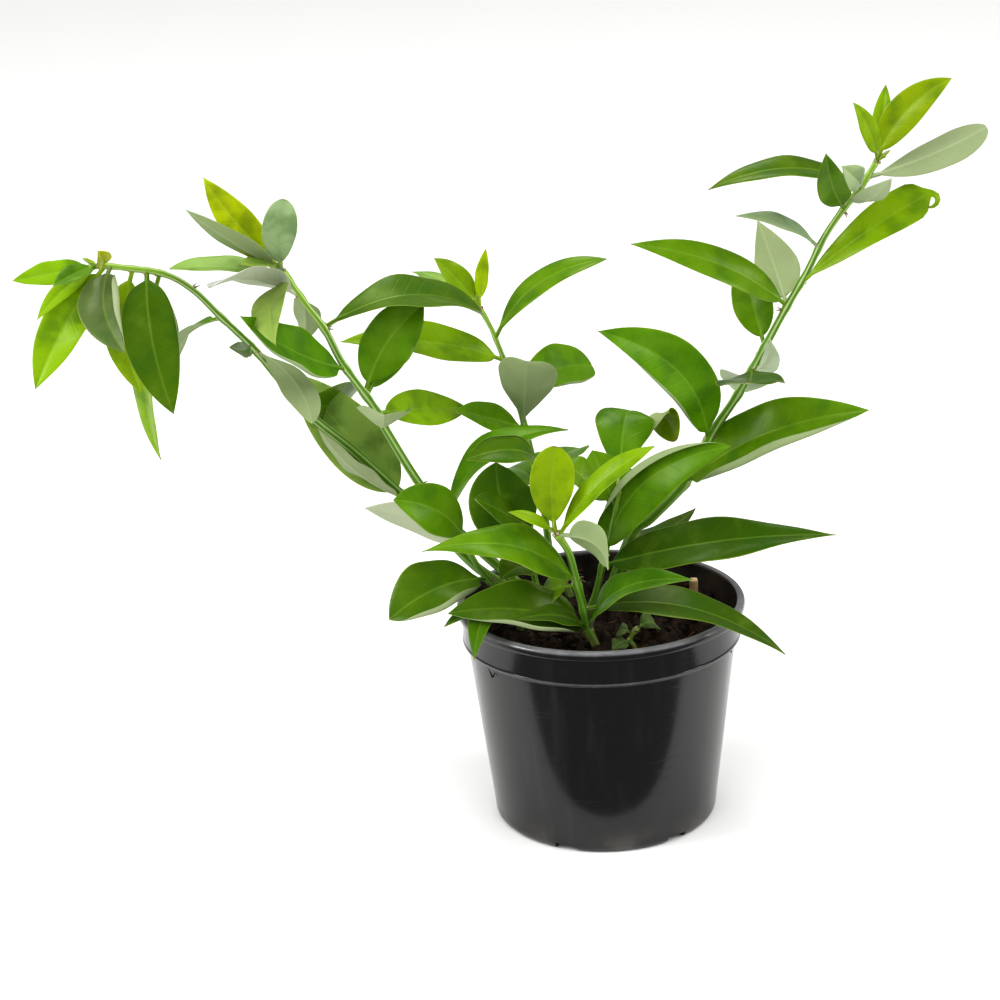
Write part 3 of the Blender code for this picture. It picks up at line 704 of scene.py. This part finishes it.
# The stems are green, juicy and finger-firm, with five low ribs. Along each rib runs a pale
# line that is a painted highlight, painted stronger higher up. They swell at each node,
# where a leaf stands over a small woolly cushion. Each goes down into its hole in the soil.
ROOT_DEPTH = 24.0
STEM_STEP = 1.2
STEM_AROUND = 20
RIB_COUNT = 5
RIB_DEPTH = 0.055
RIB_TWIST = 1.6
NODE_SWELL = 0.22
NODE_REACH = 2.6
STEM_TAPER = 0.8
ROOT_LEAN = 0.4
FINE_STEPS = 40


def seen(px, py, depth):
    """The point at that depth which the eye sees at pixel (px, py)."""
    ray = (EYE_AHEAD + EYE_RIGHT * (px - PICTURE_CENTRE) / PICTURE_SCALE
           - EYE_UP * (py - PICTURE_CENTRE) / PICTURE_SCALE)
    return EYE + ray * (depth * MM - EYE[1]) / ray[1]


def pixels_of(points):
    """The pixels that an array of points is seen at."""
    away = points - EYE
    distance = away @ EYE_AHEAD
    return np.stack([PICTURE_CENTRE + PICTURE_SCALE * (away @ EYE_RIGHT) / distance,
                     PICTURE_CENTRE - PICTURE_SCALE * (away @ EYE_UP) / distance], -1)


def smooth_route(points, step):
    """Even steps along the smooth curve through these points.

    Between two points it is the cubic whose slope at each is half the chord between that
    point's neighbours.
    """
    ends = np.concatenate([[2 * points[0] - points[1]], points, [2 * points[-1] - points[-2]]])
    a, b, c, d = ends[:-3, None], ends[1:-2, None], ends[2:-1, None], ends[3:, None]
    t = np.linspace(0, 1, FINE_STEPS, endpoint=False)[:, None]
    fine = 0.5 * (2 * b + (c - a) * t + (2 * a - 5 * b + 4 * c - d) * t ** 2
                  + (3 * b - a - 3 * c + d) * t ** 3)
    fine = np.concatenate([fine.reshape(-1, 3), points[-1:]])
    gone = np.concatenate([[0], np.linalg.norm(np.diff(fine, axis=0), axis=1).cumsum()])
    even = np.linspace(0, gone[-1], max(3, round(gone[-1] / step) + 1))
    return np.stack([np.interp(even, gone, fine[:, i]) for i in range(3)], -1)


def stem_route(plant):
    """From the root end in the soil, up out of its hole, along the seen route."""
    above = np.array([seen(*point) for point in plant["route"]])
    foot = np.array([*plant["foot"], SOIL_TOP]) * MM
    lean = unit(above[0] - foot)
    lean_in = np.array([lean[0] * ROOT_LEAN, lean[1] * ROOT_LEAN, 1])
    root = foot - lean_in * ROOT_DEPTH * MM
    return smooth_route(np.concatenate([[root, foot], above]), STEM_STEP * MM)


def nearest(route, pixel):
    """The step of the route that is seen nearest to a pixel."""
    return int(np.argmin(np.hypot(*(pixels_of(route) - np.array(pixel)).T)))


def stem_radii(plant, route):
    low, high = plant["radius"]
    return (low + (high - low) * np.linspace(0, 1, len(route)) ** STEM_TAPER) * MM


def marked(*values):
    """Three values on a grid of rings as one vector for each point of its skin."""
    grid = np.stack(np.broadcast_arrays(*values), -1).reshape(-1, 3)
    return np.concatenate([grid, grid[[0, -1]]])


def stem_shape(plant, route):
    """A tube with ribs, swollen at its nodes, rounded off at its top end and closed flat at its
    root end, and its marks.
    """
    steps = np.arange(len(route))
    share = np.linspace(0, 1, len(route))
    radii = stem_radii(plant, route)
    nodes = np.array([nearest(route, row[:2]) for row in plant["leaves"]])
    apart = np.abs(steps[:, None] - nodes).min(1) * STEM_STEP
    swell = 1 + NODE_SWELL * np.exp(-(apart / NODE_REACH) ** 2)
    to_end = (steps[-1] - steps) * STEM_STEP * MM
    round_off = np.sqrt(np.clip(1 - (1 - np.clip(to_end / radii[-1], 0, 1)) ** 2, 0.02, 1))
    angle = circle(STEM_AROUND)
    rib = np.cos(RIB_COUNT * angle + RIB_TWIST * 2 * np.pi * share[:, None])
    thick = (radii * swell * round_off)[:, None] * (1 + RIB_DEPTH * rib)
    return (skin(strand(route, thick, STEM_AROUND)),
            marked(share[:, None], rib, apart[:, None]))


STEM_GREEN = (0.085, 0.215, 0.006, 1)
# The pale of the rib lines is a painted highlight.
STEM_RIB_HIGHLIGHT = (0.660, 0.750, 0.390, 1)
STEM_NEW = (0.300, 0.470, 0.050, 1)
STEM_CORK = (0.150, 0.105, 0.050, 1)
EARTH_LINE = 92.0
CORK_FADE = 10.0
RIB_HIGHLIGHT_FROM = 110.0
RIB_HIGHLIGHT_TO = 225.0

stalk = Finish("stem_skin", IOR=1.38)
along_stem, rib_highlight_mask = stalk.marks("stalk")[:2]
mottle = stalk.noise(stalk.place(), 260.0, 4.0, 0.6)
height_up = stalk.height()
corky = 1 - height_up.ease(EARTH_LINE * MM, (EARTH_LINE + CORK_FADE) * MM)
corky = corky * mottle.ease(0.35, 0.6)
# The rib lines' painted highlight is painted stronger higher up the stems.
rib_highlight_strength = 0.18 + height_up.ease(RIB_HIGHLIGHT_FROM * MM, RIB_HIGHLIGHT_TO * MM) * 0.47
stem_colour = stalk.mix(rib_highlight_mask.ease(-0.3, 0.95) * rib_highlight_strength, STEM_GREEN, STEM_RIB_HIGHLIGHT)
stem_colour = stalk.mix(along_stem.ease(0.80, 1.0) * 0.6, stem_colour, STEM_NEW)
stem_colour = stalk.mix(mottle.ease(0.55, 0.75) * 0.25, stem_colour, STEM_CORK)
stem_colour = stalk.mix(corky * 0.7, stem_colour, STEM_CORK)
stem_material = stalk.wear(
    Base_Color=stem_colour,
    Roughness=0.36 + mottle * 0.2 + corky * 0.3,
    Normal=stalk.bump(mottle, 0.2, 0.0004))

routes = {}
for name, plant in PLANTS.items():
    routes[name] = stem_route(plant)
    shape, marks = stem_shape(plant, routes[name])
    stem = piece(name + "_stalk", [shape], {"stalk": [marks]})
    stem.data.materials.append(stem_material)
    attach(stem, "root")
    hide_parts(name)


# The leaves are fleshy and waxed, with a gloss above and a pale bloom below. Each grows on a
# short round petiole, and is one closed skin: the petiole's round section opens into the
# blade's thin lens, with a groove along the midrib above and a ridge below.
PETIOLE_LENGTH = 5.0
PETIOLE_SHARE = 0.2
PETIOLE_RADIUS = 0.95
PETIOLE_OPENS = 0.08
FULL_PETIOLE_WIDTH = 14.0
BLADE_THICKNESS = 0.6
WIDEST = 0.42
WIDTH_RISE = 0.62
BLUNT_RISE = 1.2
BLUNT_FROM = 0.45
POINT_REACH = 0.05
POINT_DRAW = 0.55
BLADE_ROWS = 34
LAST_ROW = 0.997
SLOPE_STEP = 0.005
PETIOLE_ROWS = 5
RIDGE = 0.55
RIDGE_AT_POINT = 0.1
GROOVE = 0.22
RIB_HALF = 0.6
RELIEF_FADE = 3.0
LENS_POWER = 6
RECURVE = 0.10
RECURVE_SPREAD = (0.3, 1.5)
RECURVE_POWER = 3
WAVE = 0.10
WAVE_SPREAD = (0.4, 1.3)
WAVE_POWER = 1.7
WAVE_COUNTS = (1.2, 2.4)
WAVE_LAGS = (1, 3)
TWIST = np.radians(14)
TWIST_FROM = 0.3
HOOK_START = 0.84
HOOK_NARROWING = 0.09
HOOK_THINNING = 0.8
BLUNT = 0.58
FOLD_GAIN = 1.7
FOLD_SOFTEST = 0.4
FOLD_SHARPNESS = 85.0
ACROSS = np.array([0, 0.06, 0.18, 0.36, 0.56, 0.76, 0.90, 0.975, 1])
CREASE = 0.6
CREASE_RADIUS = 0.9
ROLL_RATE = 1.5
BEFORE_CREASE = 0.02
BEYOND_CREASE = np.array([-BEFORE_CREASE, 0.08, 0.18, 0.29, 0.42, 0.60, 0.80, 0.95, 1])


def half_width(share, width, widest):
    """Half the blade's width at a share of its length.

    It is a rise from its foot to the widest place and a fall to its point, each a power of
    the share. All but the blunt leaves are drawn in further at the point.
    """
    rise = WIDTH_RISE + BLUNT_RISE * max(0, widest - BLUNT_FROM)
    fall = rise * (1 - widest) / widest
    peak = widest ** rise * (1 - widest) ** fall
    left = 1 - share
    point = (left / (left + POINT_REACH)) ** (POINT_DRAW if widest < BLUNT else 0)
    return width / 2 * share ** rise * left ** fall / peak * point


def leaf_shape(root, tip, width, face, arch, bow, fold, widest=WIDEST, curl=0, roll=0, hook=0,
               crease=CREASE):
    """A leaf's closed skin and its marks, all from a few numbers.

    Face is how far the upper side is turned from the eye towards the clockwise side, in
    degrees. The midrib is the chord from root to tip plus a parabola that bulges by arch
    towards the upper side, by bow towards the clockwise side and by curl towards the tip, as
    shares of the length. Its end bends round by the hook, in degrees, towards the clockwise
    side, and is narrower. Each ring crosses the midrib square.
    The blade is widest at a share of its length: blunt leaves have it far out. Both halves
    rise by the fold, in degrees, turn down at their edges, and wave more the nearer they are to
    the edge. Past the crease, a share of the half width, the clockwise half turns up by the
    roll, in degrees, round a small arc and then straight on. A negative roll turns up the other
    half.
    """
    chord = tip - root
    length = np.linalg.norm(chord)
    along = chord / length
    to_eye = EYE - (root + tip) / 2
    front = unit(to_eye - along * (to_eye @ along))
    upper = front * np.cos(np.radians(face)) + np.cross(along, front) * np.sin(np.radians(face))
    side = np.cross(along, upper)
    start = min(PETIOLE_LENGTH * MM / length, PETIOLE_SHARE)
    blade = (1 - np.cos(np.linspace(0, np.pi, BLADE_ROWS))) / 2 * LAST_ROW
    t = np.concatenate([np.linspace(0, start, PETIOLE_ROWS, endpoint=False),
                        start + (1 - start) * blade])
    share = np.clip((t - start) / (1 - start), 0, 1)

    def midrib(t):
        bulge = 4 * t * (1 - t) * length
        return root + chord * t[:, None] + bulge[:, None] * (
            upper * arch + side * bow + along * curl)

    slope = unit(midrib(t + SLOPE_STEP) - midrib(t - SLOPE_STEP))
    normal = unit(np.cross(side, slope))
    middle = midrib(t)
    flat = np.cross(slope, normal)
    if hook:
        past = np.clip((t - HOOK_START) / (1 - HOOK_START), 0, None)[:, None]
        bend = np.radians(hook) * past
        base = np.argmax(t > HOOK_START)
        reach = (1 - HOOK_START) * length / np.radians(hook)
        ahead, aside = slope[base], flat[base]
        curved = midrib(np.array([HOOK_START])) + reach * (
            np.sin(bend) * ahead + (1 - np.cos(bend)) * aside)
        middle = np.where(past > 0, curved, middle)
        flat = np.where(past > 0, np.cos(bend) * aside - np.sin(bend) * ahead, flat)
        normal = np.where(past > 0, normal[base], normal)
    twist = (draw.uniform(-1, 1) * TWIST * (share - TWIST_FROM))[:, None]
    level = flat * np.cos(twist) + normal * np.sin(twist)
    rising = normal * np.cos(twist) - flat * np.sin(twist)

    line = ACROSS
    if roll:
        line = np.concatenate([ACROSS[ACROSS < crease - BEFORE_CREASE],
                               crease + (1 - crease) * BEYOND_CREASE])
    v = np.concatenate([-line[::-1], line[1:], line[::-1][1:], -line[1:-1]])
    above = np.concatenate([np.ones(2 * len(line) - 1), -np.ones(2 * len(line) - 3)])
    s = share[:, None]
    opened = np.clip(s / PETIOLE_OPENS, 0, 1)
    opened = opened * opened * (3 - 2 * opened)
    stalk_radius = PETIOLE_RADIUS * min(1, width / FULL_PETIOLE_WIDTH)
    half = np.maximum(half_width(s, width, widest), stalk_radius * (1 - opened))
    if hook:
        half = half * (1 - HOOK_THINNING * np.clip(
            (s - HOOK_START) / HOOK_NARROWING + 1, 0, 1) ** 2)
    past = half * np.clip(v * np.sign(roll) - crease, 0, None)
    full_turn = np.radians(abs(roll)) * np.sin(np.pi * np.clip(s * ROLL_RATE, 0, 0.5))
    round_arc = np.minimum(past, CREASE_RADIUS * full_turn)
    straight = past - round_arc
    over = round_arc / CREASE_RADIUS
    drawn_in = past - CREASE_RADIUS * np.sin(over) - straight * np.cos(over)
    across = v * half - np.sign(roll) * drawn_in
    spread = np.cos(np.radians(fold)) ** opened
    soft = min(FOLD_SOFTEST, fold / FOLD_SHARPNESS)
    rise = half * np.sin(np.radians(fold * FOLD_GAIN)) * (np.sqrt(v ** 2 + soft ** 2) - soft)
    rise += CREASE_RADIUS * (1 - np.cos(over)) + straight * np.sin(over)
    rise -= RECURVE * half * np.abs(v) ** RECURVE_POWER * draw.uniform(*RECURVE_SPREAD)
    count = draw.uniform(*WAVE_COUNTS)
    phase = draw.uniform(0, 2 * np.pi) + np.where(v > 0, draw.uniform(*WAVE_LAGS), 0)
    rise += (WAVE * draw.uniform(*WAVE_SPREAD) * half * np.abs(v) ** WAVE_POWER
             * np.sin(2 * np.pi * count * s + phase) * np.sin(np.pi * s))
    lens_half = BLADE_THICKNESS / 2 * np.sqrt(np.clip(1 - v ** LENS_POWER, 0, 1))
    keel = np.exp(-(across / RIB_HALF) ** 2)
    relief = np.where(above > 0, -GROOVE * keel, -(RIDGE * (1 - s) + RIDGE_AT_POINT) * keel)
    relief *= np.clip(half / RELIEF_FADE, 0, 1)
    stalk_height = above * np.sqrt(1 - v ** 2) * stalk_radius
    skin_half = above * lens_half + relief
    height = (1 - opened) * stalk_height + opened * (rise + skin_half * np.cos(over))
    across = across - opened * np.sign(roll) * skin_half * np.sin(over)
    rings = (middle[:, None] + level[:, None] * (across * spread)[..., None] * MM
             + rising[:, None] * height[..., None] * MM)
    return skin(rings), {
        "blade": marked(s, v, (1 + above * (np.abs(v) < 1)) / 2),
        "reach": marked((t * length / MM)[:, None], np.abs(v) * half, draw.uniform(0, 9))}


# Newest, young, light, middle, dark and darkest green, and whitish, pale, silvery and greyish.
# The dark and darkest greens are partly painted shade, on leaves low down and among the
# others. The whitish, pale and silvery ones are partly a pale bloom and partly painted sheen,
# a painted highlight.
TONES = {"n": (0.460, 0.550, 0.003), "y": (0.375, 0.500, 0.001), "l": (0.188, 0.318, 0.001),
         "m": (0.089, 0.199, 0.001), "d": (0.053, 0.124, 0.001), "o": (0.038, 0.080, 0.001),
         "w": (0.270, 0.350, 0.200), "p": (0.200, 0.310, 0.060), "s": (0.620, 0.650, 0.560),
         "g": (0.085, 0.120, 0.040)}
TONE_SPREAD = 0.10
BUD_LENGTH = 8.0
BUD_WIDTH = 4.2
BUD_ARCH = -0.08
BUD_FOLD = 25
BUDS = ((0.30, 70), (-0.30, -110))
FULL_BUD_LEAVES = 8


def plant_leaves(name, plant):
    """The shapes and marks of a plant's leaves, with two new leaflets at the stem's end.

    The leaflets lean apart and face each other. They are smaller on a plant of few leaves.
    """
    route = routes[name]
    shapes, marks = [], {"blade": [], "reach": [], "tint": []}
    jobs = [(route[nearest(route, row[:2])], seen(*row[2:5]), *row[5:])
            for row in plant["leaves"]]
    tones = list(plant["tones"])
    way = unit(route[-1] - route[-4])
    bud_length = BUD_LENGTH * min(1, len(jobs) / FULL_BUD_LEAVES) * MM
    for aside, face in BUDS:
        reach = (way + EYE_RIGHT * aside * way[2] - EYE_UP * aside * way[0]) * bud_length
        jobs.append((route[-2], route[-2] + reach, BUD_WIDTH, face, BUD_ARCH, 0, BUD_FOLD))
        tones.append("n" if name == "shoot_front" else "y")
    for job, tone in zip(jobs, tones):
        shape, leaf_marks = leaf_shape(*job)
        shapes.append(shape)
        tint = np.array(TONES[tone]) * (1 + TONE_SPREAD * draw.uniform(-1, 1, 3))
        leaf_marks["tint"] = np.tile(tint, (len(shape[0]), 1))
        for mark, values in leaf_marks.items():
            marks[mark].append(values)
    return shapes, marks


VEIN_SPACING = 6.5
LEAF_SHADE = (0.020, 0.085, 0.004, 1)
LEAF_PALE = (0.280, 0.420, 0.060, 1)
LEAF_RIM = (0.420, 0.500, 0.080, 1)
LEAF_TIP = (0.170, 0.130, 0.045, 1)
UNDERSIDE = (0.340, 0.390, 0.230, 1)
UNDER_RIB = (0.400, 0.460, 0.260, 1)

wax = Finish("leaf_wax", IOR=1.27, Coat_Roughness=0.2, Specular_Tint=(0.90, 1.00, 0.50, 1))
share_mark, side_mark, above_mark = wax.marks("blade")
along_mark, aside_mark, leaf_mark = wax.marks("reach")
tint = wax.vector("tint")
top_side = above_mark.ease(0.45, 0.55)
edge_near = abs(side_mark)
clouds = wax.noise(wax.place(), 75.0, 3.0, 0.5)
fine_grain = wax.noise(wax.place(), 900.0, 3.0, 0.6)
midrib_line = (1 - aside_mark.ease(0.25, 0.75)) * (1 - share_mark * 0.6)
vein_wave = ((along_mark - aside_mark * 0.85 + leaf_mark) / VEIN_SPACING).zigzag(0.5)
veins = (1 - vein_wave.ease(0.0, 0.085)) * (1 - edge_near.ease(0.70, 0.92)) * edge_near.ease(0, 0.1)
rim = edge_near.ease(0.94, 0.99)
pale_spots = 0.10 - clouds.ease(0.30, 0.48) * 0.10
top_colour = wax.mix(clouds.ease(0.45, 0.70) * 0.48, tint, LEAF_SHADE)
top_colour = wax.mix(veins * 0.03 + midrib_line * 0.25 + pale_spots, top_colour, LEAF_PALE)
top_colour = wax.mix(rim * 0.30, top_colour, LEAF_RIM)
top_colour = wax.mix(share_mark.ease(0.975, 0.995) * 0.7, top_colour, LEAF_TIP)
under_colour = wax.mix(0.62 + clouds * 0.2, tint, UNDERSIDE)
under_colour = wax.mix(midrib_line * 0.5 + veins * 0.08, under_colour, UNDER_RIB)
leaf_material = wax.wear(
    Base_Color=wax.mix(top_side, under_colour, top_colour),
    Roughness=0.62 - top_side * (0.30 - clouds * 0.16),
    Coat_Weight=top_side * 0.12,
    Normal=wax.bump(fine_grain * 0.10 - veins * 0.35 + clouds * 0.8, 0.40, 0.0006))

for name, plant in PLANTS.items():
    leaves = piece(name + "_leaves", *plant_leaves(name, plant))
    leaves.data.materials.append(leaf_material)
    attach(leaves, "root")
    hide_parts(name)


# At each node a cushion of pale wool stands in the leaf's armpit. The older nodes bear a pair
# of short thorns, slightly hooked, that are brown.
THORN_LENGTH = 3.2
THORN_RADIUS = 0.5
THORN_BEND = 0.25
THORN_TAPER = 0.7
THORN_SLANT = np.array([0.6, 1, -0.1])
THORN_SEAT = 0.8
WOOL_RADIUS = 0.8
WOOL_SEAT = 0.95
WOOL_KNOBS = 0.15


def thorn(foot, out, hook):
    """A thorn along a parabola that leaves its foot outwards and bends towards the hook."""
    t = np.linspace(0, 1, 8)
    line = foot + (out * t[:, None] + hook * (THORN_BEND * t ** 2)[:, None]) * THORN_LENGTH * MM
    return skin(strand(line, THORN_RADIUS * MM * (1.02 - t) ** THORN_TAPER, 7))


def cushion(middle, radius):
    """A tuft of wool: a ball with a rough skin."""
    rings = ball(4, 8)
    knobs = 1 + WOOL_KNOBS * draw.standard_normal(rings.shape[:2] + (1,))
    return skin(middle + rings * radius * knobs)


THORN_STRAW = (0.200, 0.130, 0.060, 1)
THORN_TIP = (0.070, 0.035, 0.018, 1)
WOOL_PALE = (0.480, 0.430, 0.280, 1)
WOOL_BROWN = (0.220, 0.150, 0.070, 1)

horn = Finish("thorn_horn", IOR=1.5, Roughness=0.4)
horn_grain = horn.noise(horn.place(), 700.0, 3.0, 0.5)
horn_material = horn.wear(Base_Color=horn.mix(horn_grain.ease(0.4, 0.7), THORN_STRAW, THORN_TIP))
wool = Finish("areole_wool", IOR=1.3, Roughness=0.95)
wool_grain = wool.noise(wool.place(), 1200.0, 3.0, 0.6)
wool_material = wool.wear(
    Base_Color=wool.mix(wool_grain.ease(0.4, 0.7), WOOL_PALE, WOOL_BROWN),
    Normal=wool.bump(wool_grain, 0.8, 0.0003))

for name, plant in PLANTS.items():
    route = routes[name]
    radii = stem_radii(plant, route)
    ways = unit(np.gradient(route, axis=0))
    tufts = []
    for row in plant["leaves"]:
        k = nearest(route, row[:2])
        lean = seen(*row[2:5]) - route[k]
        lean = unit(lean - ways[k] * (lean @ ways[k]))
        up = min(k + 1, len(route) - 1)
        tufts.append(cushion(route[up] + lean * radii[up] * WOOL_SEAT, WOOL_RADIUS * MM))
    thorns = []
    for i, pixel in enumerate(plant["spines"]):
        k = nearest(route, pixel)
        out = unit(np.cross(ways[k], EYE_AHEAD))
        toward = np.cross(out, ways[k])
        for sign in (1, -1):
            slant = unit(THORN_SLANT @ [toward * sign, out * (1 if i % 2 else -1), ways[k]])
            thorns.append(thorn(route[k] + slant * radii[k] * THORN_SEAT, slant, -ways[k]))
    for kind, shapes, stuff in (("_areoles", tufts, wool_material),
                                ("_thorns", thorns, horn_material)):
        if shapes:
            growth = piece(name + kind, shapes)
            growth.data.materials.append(stuff)
            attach(growth, "root")
            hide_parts(name)


# The cut end of an old stem was left in the soil when the plant was pruned. It stands dry at
# the back, with tan bark and a paler cut face.
STUB_FOOT = (44, 25)
STUB_HEIGHT = 12.0
STUB_RADIUS = 2.2
STUB_ROWS = 30
STUB_AROUND = 18
STUB_CORE = 0.95
STUB_RIDGES = ((0.07, 4, 5), (0.03, 9, -12))
STUB_RIM = 0.86
STUB_RIM_FROM = 0.985
STUB_BARK = (0.300, 0.190, 0.085, 1)
STUB_WOOD = (0.620, 0.470, 0.260, 1)

rise = np.linspace(0, 1, STUB_ROWS)
stub_line = np.stack([0 * rise, 0 * rise, rise * (ROOT_DEPTH + STUB_HEIGHT)], -1)
stub_line = (stub_line + np.array([*STUB_FOOT, SOIL_TOP - ROOT_DEPTH])) * MM
angle = circle(STUB_AROUND)
ridges = 1 + sum(depth * np.sin(count * angle + twist * rise[:, None])
                 for depth, count, twist in STUB_RIDGES)
rim_round = np.where(rise > STUB_RIM_FROM, STUB_RIM, 1)[:, None]
stub = piece("cut_stub_wood", [skin(strand(
    stub_line, STUB_RADIUS * MM * STUB_CORE * ridges * rim_round, STUB_AROUND))])
dry = Finish("dry_wood", IOR=1.4, Roughness=0.85)
dry_grain = dry.noise(dry.place((400, 400, 60)), 1.0, 4.0, 0.6)
stub_height = dry.height()
cut_face = stub_height.ease((SOIL_TOP + STUB_HEIGHT - 1.2) * MM, (SOIL_TOP + STUB_HEIGHT) * MM)
stub.data.materials.append(dry.wear(
    Base_Color=dry.mix(cut_face * 0.8 + dry_grain * 0.3, STUB_BARK, STUB_WOOD),
    Normal=dry.bump(dry_grain, 0.6, 0.0006)))
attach(stub, "root")
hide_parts("cut_stub")


# The studio: a wide pale floor under an even skylight from above the eye, a softbox on each
# side, and one overhead that stands a little behind the plant. The pot mirrors the floor at its
# sides, but in front of the table's edge it mirrors a dim room, as if it stood near that edge.
FLOOR_SIZE = 14.0
TABLE_EDGE = 75.0
FLOOR_PALE = (0.86, 0.86, 0.85, 1)
FLOOR_SHADE = (0.80, 0.80, 0.79, 1)
ROOM_LIGHT = 0.30
SKYLIGHT = 2.2
SKYLIGHT_SPREAD = np.radians(75)
SKYLIGHT_LEAN = np.radians(38)
AIM = Vector((0, 0, 0.15))
LAMPS = {
    "left": ((-1.5, -0.4, 1.1), 0.9, 18),
    "right": ((1.6, -0.3, 1.0), 0.9, 14),
    "overhead": ((0.0, 0.8, 1.9), 0.9, 10),
}

paper = Finish("floor_paper", Roughness=0.9)
paper_grain = paper.noise(paper.place(), 3.0, 2.0, 0.5)
paper_material = paper.wear(Base_Color=paper.mix(paper_grain * 0.05, FLOOR_PALE, FLOOR_SHADE))
wide, edge = FLOOR_SIZE / 2, -TABLE_EDGE * MM
for name, front, back in (("floor", edge, wide), ("floor_front", -wide, edge)):
    sheet = bpy.data.meshes.new(name)
    sheet.from_pydata([(-wide, front, 0), (wide, front, 0), (wide, back, 0), (-wide, back, 0)],
                      [], [(0, 1, 2, 3)])
    sheet.materials.append(paper_material)
    floor = bpy.data.objects.new(name, sheet)
    floor.visible_glossy = back > 0
    scene.collection.objects.link(floor)

for lamp, (place, size, power) in LAMPS.items():
    light = bpy.data.lights.new(lamp, 'AREA')
    light.shape = 'DISK'
    light.size = size
    light.energy = power
    holder = bpy.data.objects.new(lamp, light)
    holder.location = place
    holder.rotation_euler = (AIM - Vector(place)).to_track_quat('-Z', 'Y').to_euler()
    scene.collection.objects.link(holder)

skylight = bpy.data.lights.new("skylight", 'SUN')
skylight.energy = SKYLIGHT
skylight.angle = SKYLIGHT_SPREAD
sky = bpy.data.objects.new("skylight", skylight)
sky.rotation_euler.x = SKYLIGHT_LEAN
sky.visible_glossy = False
scene.collection.objects.link(sky)

room = bpy.data.worlds.new("room")
room.use_nodes = True
backdrop = room.node_tree.nodes["Background"]
backdrop.inputs["Color"].default_value = (1, 1, 1, 1)
backdrop.inputs["Strength"].default_value = ROOM_LIGHT
scene.world = room
scene.view_settings.view_transform = 'Standard'
scene.view_settings.look = 'Medium High Contrast'
